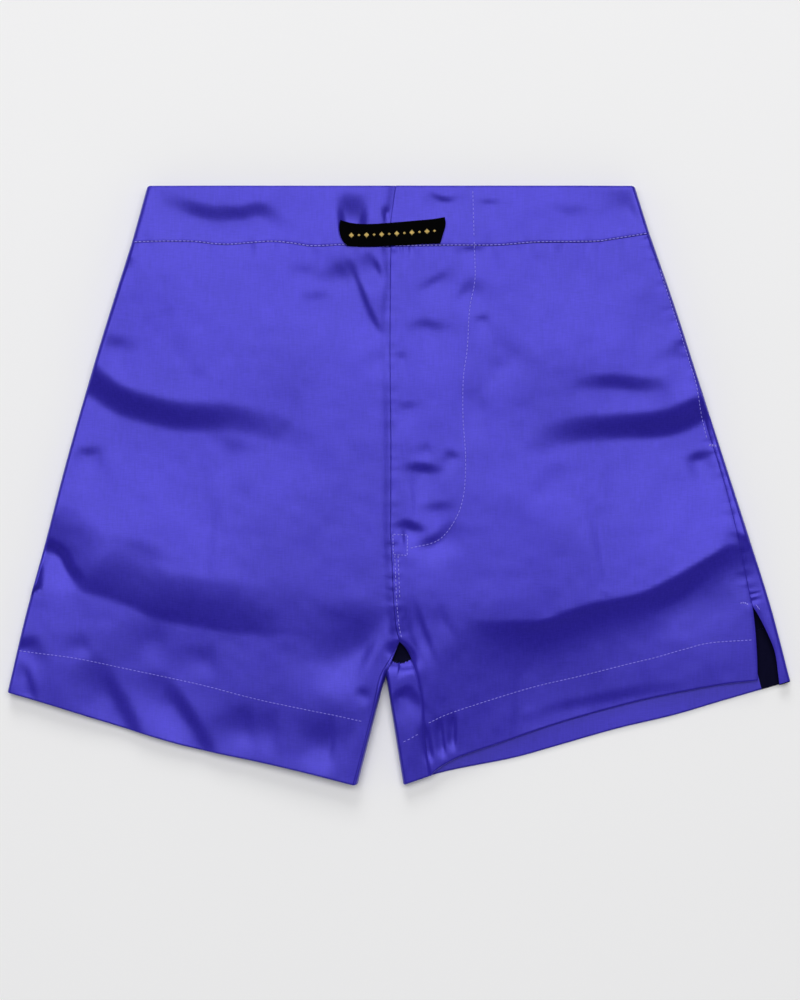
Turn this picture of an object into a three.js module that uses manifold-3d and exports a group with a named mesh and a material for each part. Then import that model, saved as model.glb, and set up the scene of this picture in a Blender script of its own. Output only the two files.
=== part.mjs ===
// Satin shorts lying flat on their back: two legs, a waistband, a concealed fly and side pockets.
// Millimetres. +X runs across the garment, +Y from the hems up to the waist, +Z out of the front.
// While it is being built, x = 0 is the centre front and y = 0 the top edge of the waistband. At the
// end the group is moved so that the origin is the middle of the footprint, on the surface below it.
import * as THREE from "three";
import { mergeVertices } from "three/addons/utils/BufferGeometryUtils.js";
import Module from "manifold-3d";

// ---- Driving dimensions -------------------------------------------------------------------------
const WAIST = 371; // waistband, laid flat, along its top edge
const BAND = 43; // depth of the waistband
const RISE = 369; // top edge down to the fold of the crotch
const CROTCH_X = -3; // the crotch fold lies a little to the wearer's right of the centre front
const OUTSEAM_RIGHT = 397; // top edge to hem along the side fold, wearer's right leg
const OUTSEAM_LEFT = 393; // and the wearer's left, whose vent lies open
const SIDE_LEAN_RIGHT = 15.5; // degrees that each side fold leans outwards
const SIDE_LEAN_LEFT = 17.5;
const INSEAM = 86; // crotch fold to hem
const INSEAM_LEAN_RIGHT = 14.7; // degrees that each inner fold leans outwards
const INSEAM_LEAN_LEFT = 7.8;
const LOFT = 17; // front face above the surface that the garment lies on
const CLOTH = 0.8; // one layer of satin with its ease
const HEM = 50; // depth of the turned-up hem
const FLY = 219; // fly opening, from the waistband seam down
const FLY_FOLD = 60; // width of the front that folds back, at the waist
const FLY_TIP = 20; // the foot of the overlap, sewn shut and not part of the flap
const FACING_TOP = 65; // fly facing's width at the waistband
const FACING_LOW = 53; // and where its curve starts
const FACING_CURVE = 34; // height of the J curve at its foot
const SHIELD = 38; // how far the fly shield reaches under the overlap
const UNDERLAP = 48; // how far the waistband's under end reaches
const VENT = 57; // side vent, from the hem up
const VENT_GAP = 16; // how far the open vent spreads at the hem
const POCKET_MOUTH = 135; // side pocket opening
const POCKET_TOP = 60; // top of the opening, below the waist
const POCKET_REACH = 112; // how far the pocket bag reaches inwards
const POCKET_DEPTH = 75; // how far the bag hangs below its opening
const SNAP_D = 9; // press stud
const SNAP_FROM_EDGE = 9.5; // from the overlap's edge to the row of studs
const SNAP_PITCH = 42;
const FLY_SNAPS = 3;
const ELASTIC = 34; // width of the elastic in the back waistband
const ELASTIC_THICK = 1.2;
const INTERLINING_THICK = 0.6;
const LABEL = [80, 19, 0.6]; // woven label: across, up, thick
const CARE_LABEL = [28, 42, 0.4];
const THREAD = [0.8, 0.4]; // a row of topstitching: across, high
const GAP = 0.3; // between pieces that touch

// ---- Heights that follow from them --------------------------------------------------------------
const TOP = LOFT - CLOTH; // underside of the front layer
const LINING_TOP = TOP - GAP; // what lies against the front layer, from here down
const LINING = LINING_TOP - CLOTH;
const BAND_THICK = 2 * CLOTH + INTERLINING_THICK + 2 * GAP;
const STUD_BASE = 0.6;
const STUD_POST = 1.1;
const SOCKET = 1.4;
const CLOSURE = GAP + STUD_BASE + GAP + SOCKET + GAP; // room that a closed press stud takes
const SHIELD_TOP = LINING - CLOSURE;
const SHIELD_THICK = 2 * CLOTH;
const UNDERLAP_TOP = LOFT - BAND_THICK - CLOSURE;
const ON_TOP = LOFT + GAP; // what lies on the front layer, from here up
const ROLL = LOFT / 2; // radius of a folded edge
const WAY_OUT = 40; // how far cutters run past the garment
const ROUND_STEPS = 28;

const wasm = await Module();
wasm.setup();

// ---- Small geometry helpers ---------------------------------------------------------------------
const radians = THREE.MathUtils.degToRad;
const point = (x, y) => new THREE.Vector2(x, y);
const along = (from, to, share) => from.clone().lerp(to, share);
const rectangle = (x0, x1, y0, y1) => [point(x0, y0), point(x1, y0), point(x1, y1), point(x0, y1)];
const sideways = (from, to) => point(to.y - from.y, from.x - to.x).normalize(); // to the right of travel
const moved = (p, direction, distance) => p.clone().addScaledVector(direction, distance);

// Points on a line from one end to the other, bowed sideways by a given rise in its middle.
function bowed(from, to, rise, steps = 10) {
  const middle = moved(along(from, to, 0.5), sideways(from, to), 2 * rise);
  return new THREE.QuadraticBezierCurve(from, middle, to).getPoints(steps);
}

// A three.js geometry as a manifold-3d solid.
function solid(geometry) {
  geometry.deleteAttribute("normal");
  geometry.deleteAttribute("uv");
  const merged = mergeVertices(geometry, 1e-4);
  return new wasm.Manifold(
    new wasm.Mesh({
      numProp: 3,
      vertProperties: merged.attributes.position.array,
      triVerts: new Uint32Array(merged.index.array),
    }),
  );
}

// A plan outline raised from z = low to z = high.
function slab(points, low, high) {
  const shape = new THREE.Shape(points);
  const geometry = new THREE.ExtrudeGeometry(shape, { depth: high - low, bevelEnabled: false });
  return solid(geometry.translate(0, 0, low));
}

// A band of a given width along a line of points, for seam gaps and rows of stitches.
function strip(points, width, low, high) {
  const edge = (side) =>
    points.map((p, i) => {
      const before = points[Math.max(i - 1, 0)];
      const after = points[Math.min(i + 1, points.length - 1)];
      return moved(p, sideways(before, after), (side * width) / 2);
    });
  return slab([...edge(1), ...edge(-1).reverse()], low, high);
}

// A round bar lying along a line in plan, for the folded edges.
function bar(from, to, radius) {
  const length = from.distanceTo(to);
  const geometry = new THREE.CylinderGeometry(radius, radius, length, ROUND_STEPS);
  geometry.rotateZ(to.clone().sub(from).angle() - Math.PI / 2);
  const middle = along(from, to, 0.5);
  return solid(geometry.translate(middle.x, middle.y, ROLL));
}

// A round piece standing on z = low, from its half profile of [radius, height] pairs.
function turned(profile, x, y, low) {
  const geometry = new THREE.LatheGeometry(
    profile.map(([radius, height]) => point(radius, height)),
    ROUND_STEPS,
  );
  return solid(geometry.rotateX(Math.PI / 2).translate(x, y, low));
}

const union = (first, ...others) => others.reduce((all, next) => all.add(next), first);
const cut = (first, ...others) => others.reduce((left, next) => left.subtract(next), first);

// ---- Corners of the outline ---------------------------------------------------------------------
const down = (from, lean, length) =>
  moved(from, point(Math.sin(radians(lean)), -Math.cos(radians(lean))), length);
const waistRight = point(-WAIST / 2, 0);
const waistLeft = point(WAIST / 2, 0);
const crotch = point(CROTCH_X, -RISE);
const outerRight = down(waistRight, -SIDE_LEAN_RIGHT, OUTSEAM_RIGHT);
const outerLeft = down(waistLeft, SIDE_LEAN_LEFT, OUTSEAM_LEFT);
const innerRight = down(crotch, -INSEAM_LEAN_RIGHT, INSEAM);
const innerLeft = down(crotch, INSEAM_LEAN_LEFT, INSEAM);
const RIGHT_HEM_DROP = 4; // the right hem bows down a little
const FRONT_HEM_LIFT = 11; // the left front hem bows up and shows the back hem below it
const CORNER = 4; // corners of the waist and hems are rounded by this much

const hemRight = bowed(outerRight, innerRight, RIGHT_HEM_DROP);
const hemBackLeft = bowed(innerLeft, outerLeft, 0, 1);

// A corner cut back to two or three points on a small arc.
function rounded(before, corner, after) {
  const a = moved(corner, before.clone().sub(corner).normalize(), CORNER);
  const b = moved(corner, after.clone().sub(corner).normalize(), CORNER);
  return new THREE.QuadraticBezierCurve(a, corner, b).getPoints(3);
}
const outline = [
  ...rounded(outerRight, waistRight, waistLeft),
  ...rounded(waistRight, waistLeft, outerLeft),
  ...rounded(waistLeft, outerLeft, innerLeft),
  ...rounded(outerLeft, innerLeft, crotch),
  crotch,
  ...rounded(crotch, innerRight, hemRight.at(-2)),
  ...hemRight.slice(1, -1).reverse(),
  ...rounded(hemRight[1], outerRight, waistRight),
];

// ---- The tube of cloth: a flattened shell, open at the waist and at both hems --------------------
// Each folded edge, as [its upper end, its lower end, the direction into the garment].
const folds = [
  [waistRight, outerRight],
  [outerLeft, waistLeft],
  [innerRight, crotch],
  [crotch, innerLeft],
].map(([from, to]) => {
  const inwards = sideways(from, to).negate();
  return { from: moved(from, inwards, ROLL), to: moved(to, inwards, ROLL), inwards };
});

// Where the middles of the two inner folds would meet, if both ran on upwards.
const innerSplay = (INSEAM_LEAN_RIGHT + INSEAM_LEAN_LEFT) / 2;
const innerTilt = (INSEAM_LEAN_LEFT - INSEAM_LEAN_RIGHT) / 2;
const toMeeting = ROLL / Math.sin(radians(innerSplay));
const innerMeeting = down(crotch, innerTilt, -toMeeting);

function pillow(wall) {
  const [right, left, innerR, innerL] = folds;
  const pastCrotch = ROLL / Math.tan(radians(innerSplay)) + ROLL;
  const longer = (fold, atStart, atEnd) => {
    const direction = fold.to.clone().sub(fold.from).normalize();
    return [moved(fold.from, direction, -atStart), moved(fold.to, direction, atEnd)];
  };
  const [rightTop, rightLow] = longer(right, WAY_OUT, WAY_OUT);
  const [leftLow, leftTop] = longer(left, WAY_OUT, WAY_OUT);
  const [innerRLow, innerRTop] = longer(innerR, WAY_OUT, pastCrotch);
  const [innerLTop, innerLLow] = longer(innerL, pastCrotch, WAY_OUT);
  const plan = [rightTop, rightLow, innerRLow, innerMeeting, innerLLow, leftLow, leftTop];
  const radius = ROLL - wall;
  return union(
    slab(plan, wall, LOFT - wall),
    bar(rightTop, rightLow, radius),
    bar(leftLow, leftTop, radius),
    bar(innerRLow, innerRTop, radius),
    bar(innerLTop, innerLLow, radius),
  );
}
const shell = pillow(0).subtract(pillow(CLOTH)).intersect(slab(outline, -1, LOFT + 1));

// ---- Seams, as lines in plan ---------------------------------------------------------------------
const bandSeam = [point(-WAIST, -BAND), point(WAIST, -BAND)];
const flyFoot = point(0, -BAND - FLY);
const riseFoot = point(5, -RISE + 19); // where the centre seam meets the inseams
const RISE_BOW = 1.5; // the centre seam bows this far towards the wearer's right below the fly
const centreFront = [point(0, WAY_OUT), ...bowed(flyFoot, riseFoot, RISE_BOW, 4)];
const foldTop = point(FLY_FOLD, 0);
const flapFoot = along(flyFoot, foldTop, FLY_TIP / (BAND + FLY));
const foldCut = [flapFoot, along(flyFoot, foldTop, 1 + WAY_OUT / FLY)];
const flapFootCut = [point(-GAP / 2, flapFoot.y), moved(flapFoot, point(1, 0), GAP / 2)];

// A point on a side fold, a share of the way down and a distance inside the outline.
const onSide = (top, low, share, inset) =>
  moved(along(top, low, share), sideways(low, top).multiplyScalar(top === waistLeft ? -1 : 1), inset);
const leftSide = (share, inset) => onSide(waistLeft, outerLeft, share, inset);
const rightSide = (share, inset) => onSide(waistRight, outerRight, share, inset);

const POCKET_EDGE = 2; // the pocket mouth lies this far inside the side fold
const SEAM_SWING = 13; // the left side seam drifts this far onto the front, at the vent
const ventTopShare = 1 - VENT / OUTSEAM_LEFT;
const pocketFootShare = (POCKET_TOP + POCKET_MOUTH) / OUTSEAM_LEFT;
const ventTop = leftSide(ventTopShare, SEAM_SWING);
const ventFront = leftSide(1 - 4 / OUTSEAM_LEFT, SEAM_SWING + VENT_GAP - 5);
const ventBack = leftSide(1, SEAM_SWING - 5);
const leftSeam = [
  leftSide(-WAY_OUT / OUTSEAM_LEFT, POCKET_EDGE),
  leftSide(pocketFootShare, POCKET_EDGE),
  leftSide((pocketFootShare + ventTopShare) / 2, POCKET_EDGE + 3),
  ventTop,
];
const rightSeam = [rightSide(-0.1, 12), rightSide(ventTopShare, 15), rightSide(1.1, 17)];
const WRAP_LEFT = 15; // the left back panel comes this far round the inner fold, at the hem
const hemLine = outerLeft.clone().sub(innerLeft).normalize();
const frontHemIn = moved(innerLeft, hemLine, WRAP_LEFT);
const inseamLeft = [
  riseFoot,
  point(riseFoot.x + 20, riseFoot.y - 16),
  point(riseFoot.x + 26, riseFoot.y - 40),
  point(riseFoot.x + 26, riseFoot.y - 65),
  frontHemIn,
  moved(frontHemIn, point(-0.3, -1), WAY_OUT / 2),
];
const RIGHT_INSEAM_INSET = 7;
const inseamRight = [
  riseFoot,
  moved(crotch, point(-1, 0.2), RIGHT_INSEAM_INSET),
  moved(innerRight, point(-1, -0.1), RIGHT_INSEAM_INSET),
  moved(down(crotch, -INSEAM_LEAN_RIGHT, INSEAM + WAY_OUT), point(-1, 0), RIGHT_INSEAM_INSET),
];
const centreBack = [point(0, -BAND), point(0, -RISE + 45), riseFoot];
const crotchSeam = [riseFoot, crotch, moved(crotch, point(0, -1), CLOTH)];

// A small round hole where seams meet, so that no sliver joins two panels.
const eyelet = ({ x, y }) => new THREE.EllipseCurve(x, y, 2 * GAP, 2 * GAP).getPoints(8).slice(1);

// The left front hem, from the inseam to the vent.
const frontHemLeft = bowed(frontHemIn, ventFront, -FRONT_HEM_LIFT);

const FRONT = [LOFT / 2, LOFT + 1]; // a cut through the front layer only
const BACK = [-1, LOFT / 2];
const BOTH = [-1, LOFT + 1];
const pieces = cut(
  shell,
  strip(bandSeam, GAP, ...BOTH),
  strip(centreFront, GAP, ...FRONT),
  strip(foldCut, GAP, ...FRONT),
  strip(flapFootCut, GAP, ...FRONT),
  strip(leftSeam, GAP, ...FRONT),
  strip(rightSeam, GAP, ...BACK),
  strip(inseamLeft, GAP, ...FRONT),
  strip(inseamRight, GAP, ...FRONT),
  strip(centreBack, GAP, ...BACK),
  strip(crotchSeam, GAP, ...BOTH),
  slab(eyelet(riseFoot), ...BOTH),
  slab(eyelet(ventTop), ...FRONT),
  // the open vent, and the back hem that shows below the front hem
  slab([ventTop, ventFront, moved(ventFront, point(0, -1), WAY_OUT), ventBack], ...FRONT),
  slab([...frontHemLeft, moved(ventFront, point(0, -1), WAY_OUT), inseamLeft.at(-1)], ...FRONT),
).decompose();

// The piece of the cut shell that holds a place in plan, on the front or on the back layer.
function pieceAt(x, y, low) {
  const probe = slab(rectangle(x - 1, x + 1, y - 1, y + 1), low, low + CLOTH);
  return pieces.find((piece) => !piece.intersect(probe).isEmpty());
}

// ---- Turned-up hems, on the inside of each panel -------------------------------------------------
// A hem layer with the fold that joins it to its panel. up is the way it is turned.
function turnUp(hem, first, last, layer, fold) {
  const edge = hem.slice(first, last);
  const up = sideways(edge[0], edge.at(-1)).negate();
  const raised = (distance) => edge.map((p) => moved(p, up, distance));
  const outer = raised(GAP);
  return union(
    slab([...outer, ...raised(HEM).reverse()], ...layer),
    slab([...outer, ...raised(GAP + CLOTH).reverse()], ...fold),
  );
}
const FRONT_HEM = [LINING, LINING_TOP];
const FRONT_HEM_FOLD = [LINING, TOP + CLOTH / 2];
const BACK_HEM = [CLOTH + GAP, 2 * CLOTH + GAP];
const BACK_HEM_FOLD = [CLOTH / 2, 2 * CLOTH + GAP];

// A hem line cut into equal steps, so that a turn-up can stop short of the folded edges.
const stepped = (points) => new THREE.SplineCurve(points).getSpacedPoints(24);
const rightHemSteps = stepped(hemRight);
const leftBackSteps = stepped([...hemBackLeft].reverse()).reverse();
const leftFrontSteps = stepped(frontHemLeft);

const frontPanelRight = union(
  pieceAt(-WAIST / 4, -RISE / 2, TOP),
  turnUp(rightHemSteps, 2, 23, FRONT_HEM, FRONT_HEM_FOLD),
);
const frontPanelLeft = union(
  pieceAt(WAIST / 4, -RISE / 2, TOP),
  turnUp(leftFrontSteps, 1, 24, FRONT_HEM, FRONT_HEM_FOLD),
);
const backPanelRight = union(
  pieceAt(-WAIST / 4, -RISE / 2, 0),
  turnUp(rightHemSteps, 3, 23, BACK_HEM, BACK_HEM_FOLD),
);
const backPanelLeft = union(
  pieceAt(WAIST / 4, -RISE / 2, 0),
  turnUp(leftBackSteps, 2, 23, BACK_HEM, BACK_HEM_FOLD),
);

// ---- Waistband -----------------------------------------------------------------------------------
// The inner layer of a stretch of band, with the fold along its top edge. from and to are in x.
const BAND_INNER = [LOFT - BAND_THICK, LOFT - BAND_THICK + CLOTH];
const bandTopEdge = -CORNER / 8; // the fold sits just inside the rounded outline
function bandLining(from, to, low, high, foldLow, foldHigh) {
  const foot = -BAND + GAP;
  return union(
    slab(rectangle(from, to, foot, bandTopEdge), low, high),
    slab(rectangle(from, to, bandTopEdge - CLOTH, bandTopEdge), foldLow, foldHigh),
  );
}
const bandEnd = WAIST / 2 - ROLL; // the flat part of the band ends where the side folds start
const frontFold = [BAND_INNER[0], TOP + CLOTH / 2];
const BACK_INNER_LOW = CLOTH + GAP + ELASTIC_THICK + GAP;
const BACK_INNER = [BACK_INNER_LOW, BACK_INNER_LOW + CLOTH];

// Where the fold line of the fly crosses a height y.
const foldX = (y) => flyFoot.x + ((foldTop.x - flyFoot.x) * (y - flyFoot.y)) / (foldTop.y - flyFoot.y);
const besideFold = (offset) => [
  point(-2 * CLOTH, WAY_OUT),
  point(-2 * CLOTH, flapFoot.y - offset),
  point(foldX(flapFoot.y) + offset, flapFoot.y - offset),
  point(foldX(WAY_OUT) + offset, WAY_OUT),
];
const leftOfFold = besideFold(-GAP / 2);
const rightOfFold = [...besideFold(GAP / 2).slice(2), point(WAIST, WAY_OUT), point(WAIST, flyFoot.y)];

// The under end of the band drops below the overlap and runs on beneath it.
const CRANK = [-16, -4]; // where the under layers start and finish their drop, in x
function cranked(reach, top, thick, high, yLow, yHigh) {
  const [start, end] = CRANK;
  const upper = [point(start - 6, high), point(start, high), point(end, top), point(reach, top)];
  const lower = upper.map((p) => point(p.x, p.y - thick)).reverse();
  const profile = new THREE.Shape([...upper, ...lower]);
  const geometry = new THREE.ExtrudeGeometry(profile, { depth: yHigh - yLow, bevelEnabled: false });
  return solid(geometry.rotateX(Math.PI / 2).translate(0, yHigh, 0));
}
const bandFront = pieceAt(-WAIST / 4, -BAND / 2, TOP);
const waistbandFrontRight = union(
  bandFront,
  bandLining(-bandEnd + GAP, CRANK[0] - 4, ...BAND_INNER, ...frontFold),
  cranked(UNDERLAP, UNDERLAP_TOP, 2 * CLOTH + INTERLINING_THICK, BAND_INNER[1], -BAND + GAP, bandTopEdge),
);
const waistbandFrontLeft = union(
  pieceAt(WAIST / 3, -BAND / 2, TOP),
  bandLining(0, bandEnd - GAP, ...BAND_INNER, ...frontFold).intersect(slab(rightOfFold, ...BOTH)),
);
const waistbandOverlap = union(
  pieceAt(FLY_FOLD / 4, -BAND / 2, TOP),
  bandLining(GAP / 2, WAIST / 2, ...BAND_INNER, ...frontFold).intersect(slab(leftOfFold, ...BOTH)),
);
const waistbandBack = union(
  pieceAt(0, -BAND / 2, 0),
  bandLining(-bandEnd + 16, bandEnd - 16, ...BACK_INNER, CLOTH / 2, BACK_INNER[1]),
);

const bandInside = [-BAND + 2, bandTopEdge - CLOTH - GAP];
const INTERLINING = [BAND_INNER[1] + GAP, BAND_INNER[1] + GAP + INTERLINING_THICK];
const interliningRight = slab(rectangle(-bandEnd + 2, CRANK[0] - 8, ...bandInside), ...INTERLINING);
const interliningFront = slab(rectangle(GAP, bandEnd - 2, ...bandInside), ...INTERLINING);
const interliningLeft = interliningFront.intersect(slab(rightOfFold, ...BOTH));
const interliningOverlap = interliningFront.intersect(slab(leftOfFold, ...BOTH));
const elasticMiddle = -BAND / 2 - 1;
const elastic = slab(
  rectangle(-bandEnd + 18, bandEnd - 18, elasticMiddle - ELASTIC / 2, elasticMiddle + ELASTIC / 2),
  CLOTH + GAP,
  CLOTH + GAP + ELASTIC_THICK,
);

// ---- Fly -----------------------------------------------------------------------------------------
const facingHead = -BAND - GAP;
const facingFoot = -BAND - FLY - 14;
const curveHead = -BAND - FLY + FACING_CURVE - 14;
const facingEdge = [
  point(FACING_TOP, facingHead),
  point((FACING_TOP + FACING_LOW) / 2, along(point(0, facingHead), point(0, curveHead), 0.35).y),
  point(FACING_LOW, curveHead),
  ...new THREE.QuadraticBezierCurve(
    point(FACING_LOW, curveHead),
    point(FACING_LOW - 6, curveHead - FACING_CURVE),
    point(14, facingFoot),
  )
    .getPoints(7)
    .slice(1),
];
const facingPlan = slab(
  [point(GAP, facingHead), ...facingEdge, point(riseFoot.x, facingFoot), point(GAP, -BAND - FLY)],
  LINING,
  LINING_TOP,
);
const flyFacing = facingPlan.intersect(slab(leftOfFold, ...BOTH));
const flyFacingBase = facingPlan.subtract(slab(besideFold(GAP / 2), ...BOTH));
const flyShield = cranked(SHIELD, SHIELD_TOP, SHIELD_THICK, LINING_TOP, -BAND - FLY - 6, facingHead);

// Press studs: a stud on the under layer and its socket on the over layer, one pair in the band.
const snapRadius = SNAP_D / 2;
const POST_R = 1.4;
const POST_CLEARANCE = 0.45;
const SNAP_BEVEL = 0.4;
const SOCKET_ROOF = 0.25;
const studProfile = [
  [0, 0],
  [snapRadius, 0],
  [snapRadius - SNAP_BEVEL, STUD_BASE],
  [POST_R, STUD_BASE],
  [POST_R, STUD_BASE + STUD_POST * 0.7],
  [POST_R * 0.6, STUD_BASE + STUD_POST],
  [0, STUD_BASE + STUD_POST],
];
const socketProfile = [
  [0, SOCKET - SOCKET_ROOF],
  [POST_R + POST_CLEARANCE, SOCKET - SOCKET_ROOF],
  [POST_R + POST_CLEARANCE, 0],
  [snapRadius - SNAP_BEVEL, 0],
  [snapRadius, SNAP_BEVEL],
  [snapRadius, SOCKET - SNAP_BEVEL],
  [snapRadius - SNAP_BEVEL, SOCKET],
  [0, SOCKET],
];
const bandSnap = point(34, -BAND / 2 + 2);
const firstSnap = point(SNAP_FROM_EDGE, -BAND - 38);
const flySnaps = Array.from({ length: FLY_SNAPS }, (_, i) => moved(firstSnap, point(0, -1), i * SNAP_PITCH));

// ---- Side pockets --------------------------------------------------------------------------------
// A pocket bag's outline: down the side fold, round its foot and back to the waistband seam.
function pocketPlan(side, width) {
  const outseam = side === leftSide ? OUTSEAM_LEFT : OUTSEAM_RIGHT;
  const inwards = side === leftSide ? -1 : 1;
  const EDGE_INSET = ROLL;
  const head = side((BAND + 6) / outseam, EDGE_INSET);
  const mouthFoot = side((POCKET_TOP + POCKET_MOUTH + 8) / outseam, EDGE_INSET);
  const innerHead = point(head.x + inwards * width, head.y);
  const innerFoot = point(innerHead.x, mouthFoot.y - POCKET_DEPTH / 2);
  const foot = new THREE.CubicBezierCurve(
    mouthFoot,
    point(mouthFoot.x, mouthFoot.y - POCKET_DEPTH),
    point(innerFoot.x, innerFoot.y - POCKET_DEPTH),
    innerFoot,
  ).getPoints(12);
  return [head, ...foot, innerHead];
}
const INNER_BAG = LINING - GAP; // the second layer of a bag on the front
const bags = {
  pocket_bag_left_outer: slab(pocketPlan(leftSide, POCKET_REACH), LINING, LINING_TOP),
  pocket_bag_left_inner: slab(pocketPlan(leftSide, POCKET_REACH), INNER_BAG - CLOTH, INNER_BAG),
  pocket_bag_right_outer: slab(pocketPlan(rightSide, POCKET_REACH), CLOTH + GAP, 2 * CLOTH + GAP),
  pocket_bag_right_inner: slab(pocketPlan(rightSide, POCKET_REACH), 2 * CLOTH + 2 * GAP, 3 * CLOTH + 2 * GAP),
};

// ---- Labels --------------------------------------------------------------------------------------
const labelFoot = -BAND - 0.5;
const [labelAcross, labelUp, labelThick] = LABEL;
const labelPlan = [
  point(-labelAcross / 2 + 6, labelFoot), point(labelAcross / 2 - 3, labelFoot),
  point(labelAcross / 2 + 1, labelFoot + labelUp * 0.55), point(labelAcross / 2 + 1, labelFoot + labelUp),
  point(-labelAcross / 2 + 1, labelFoot + labelUp), point(-labelAcross / 2 + 1, labelFoot + labelUp * 0.35),
];
const wovenLabel = slab(labelPlan, ON_TOP, ON_TOP + labelThick);
const CARE_X = 60;
const careLabel = slab(
  rectangle(CARE_X, CARE_X + CARE_LABEL[0], -BAND - GAP - CARE_LABEL[1], -BAND - GAP),
  CLOTH + GAP,
  CLOTH + GAP + CARE_LABEL[2],
);

// ---- Rows of topstitching and bar tacks ----------------------------------------------------------
const [threadAcross, threadHigh] = THREAD;
const stitches = (points, across = threadAcross) => strip(points, across, ON_TOP, ON_TOP + threadHigh);
const bandStitchY = -BAND + 1.6;
const bandRow = (from, to) => stitches([point(from, bandStitchY), point(to, bandStitchY)]);
const sideClear = ROLL + 1; // stitches stop where the side fold starts to roll
const waistStitchEnd = (side) => side(BAND / OUTSEAM_LEFT, sideClear).x;
const hemStitch = (hem, first, last) => {
  const edge = hem.slice(first, last);
  const up = sideways(edge[0], edge.at(-1)).negate();
  return stitches(edge.map((p) => moved(p, up, HEM - 1)));
};
const TACK = 1.8; // width of a bar tack
const jStitch = [
  point(FACING_TOP - 3, bandTopEdge - 1),
  point(FACING_TOP - 0.5, -BAND),
  ...facingEdge.slice(1),
];
const boxHead = -BAND - FLY - 1;
const flyBox = [point(3, boxHead), point(13, boxHead), point(13, boxHead - 12)];
const riseRow = bowed(point(3.2, boxHead - 2.5), moved(riseFoot, point(3, 4), 1), RISE_BOW, 4);
const pocketRow = [0, 0.5, 1].map((share) =>
  leftSide((POCKET_TOP + share * (POCKET_MOUTH - 6)) / OUTSEAM_LEFT, sideClear + 1),
);
const tackFoot = leftSide(pocketFootShare, sideClear - 1);
const ventTackOut = moved(ventTop, point(1, 0.1), -1);

// ---- The assembly --------------------------------------------------------------------------------
const satin = new THREE.MeshStandardMaterial({ color: 0x564fcd, roughness: 0.38, metalness: 0 });
const lining = new THREE.MeshStandardMaterial({ color: 0x3c36a8, roughness: 0.6, metalness: 0 });
const rubberised = new THREE.MeshStandardMaterial({ color: 0xe8e8ea, roughness: 0.8, metalness: 0 });
const interlined = new THREE.MeshStandardMaterial({ color: 0xd9d8d2, roughness: 0.9, metalness: 0 });
const thread = new THREE.MeshStandardMaterial({ color: 0x8f8be8, roughness: 0.5, metalness: 0 });
const labelCloth = new THREE.MeshStandardMaterial({ color: 0x0a0a0c, roughness: 0.55, metalness: 0 });
const careCloth = new THREE.MeshStandardMaterial({ color: 0xf0f0ee, roughness: 0.5, metalness: 0 });
const snapMetal = new THREE.MeshStandardMaterial({ color: 0xb9bcc2, roughness: 0.3, metalness: 0.9 });

const shorts = new THREE.Group();
function add(name, made, material) {
  const mesh = made.getMesh();
  const geometry = new THREE.BufferGeometry();
  geometry.setAttribute("position", new THREE.BufferAttribute(mesh.vertProperties, 3));
  geometry.setIndex(new THREE.BufferAttribute(mesh.triVerts, 1));
  geometry.computeVertexNormals();
  const piece = new THREE.Mesh(geometry, material);
  piece.name = name;
  shorts.add(piece);
}

add("front_panel_right", frontPanelRight, satin);
add("front_panel_left", frontPanelLeft, satin);
add("back_panel_right", backPanelRight, satin);
add("back_panel_left", backPanelLeft, satin);
add("waistband_front_right", waistbandFrontRight, satin);
add("waistband_front_left", waistbandFrontLeft, satin);
add("waistband_back", waistbandBack, satin);
add("waistband_overlap_end", waistbandOverlap, satin);
add("interlining_right", interliningRight, interlined);
add("interlining_left", interliningLeft, interlined);
add("interlining_overlap", interliningOverlap, interlined);
add("waist_elastic", elastic, rubberised);
add("fly_overlap", pieceAt(FLY_FOLD / 5, -BAND - FLY / 4, TOP), satin);
add("fly_facing", flyFacing, lining);
add("fly_facing_base", flyFacingBase, lining);
add("fly_shield", flyShield, satin);
const studOnBand = UNDERLAP_TOP + GAP;
const studOnShield = SHIELD_TOP + GAP;
const socketUp = STUD_BASE + GAP;
const { x: snapX, y: snapY } = bandSnap;
add("snap_stud_waist", turned(studProfile, snapX, snapY, studOnBand), snapMetal);
add("snap_socket_waist", turned(socketProfile, snapX, snapY, studOnBand + socketUp), snapMetal);
flySnaps.forEach(({ x, y }, i) => {
  add(`snap_stud_fly_${i + 1}`, turned(studProfile, x, y, studOnShield), snapMetal);
  add(`snap_socket_fly_${i + 1}`, turned(socketProfile, x, y, studOnShield + socketUp), snapMetal);
});
Object.entries(bags).forEach(([name, bag]) => add(name, bag, lining));
add("woven_label", wovenLabel, labelCloth);
add("care_label", careLabel, careCloth);
add("waist_stitch_right", bandRow(waistStitchEnd(rightSide), -labelAcross / 2 - 1), thread);
add("waist_stitch_overlap", bandRow(labelAcross / 2 + 2, foldX(bandStitchY) - 3), thread);
add("waist_stitch_left", bandRow(FACING_TOP + 1.5, waistStitchEnd(leftSide)), thread);
add("fly_j_stitch", stitches(jStitch), thread);
add("fly_box_stitch", stitches(flyBox), thread);
add("rise_stitch", stitches(riseRow), thread);
add("hem_stitch_right", hemStitch(rightHemSteps, 2, 23), thread);
add("hem_stitch_left", hemStitch(leftFrontSteps, 2, 23), thread);
add("pocket_stitch_left", stitches(pocketRow), thread);
add("pocket_bartack_left", stitches([tackFoot, moved(tackFoot, point(-1, 0), 8)], TACK), thread);
add("vent_bartack_left", stitches([moved(ventTackOut, point(-1, 0), 10), ventTackOut], TACK), thread);

// The origin is the middle of the footprint, on the surface that the garment lies on.
const footprint = new THREE.Box3().setFromObject(shorts);
const middle = footprint.getCenter(new THREE.Vector3());
shorts.position.set(-middle.x, -middle.y, 0);

export default shorts;
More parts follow.
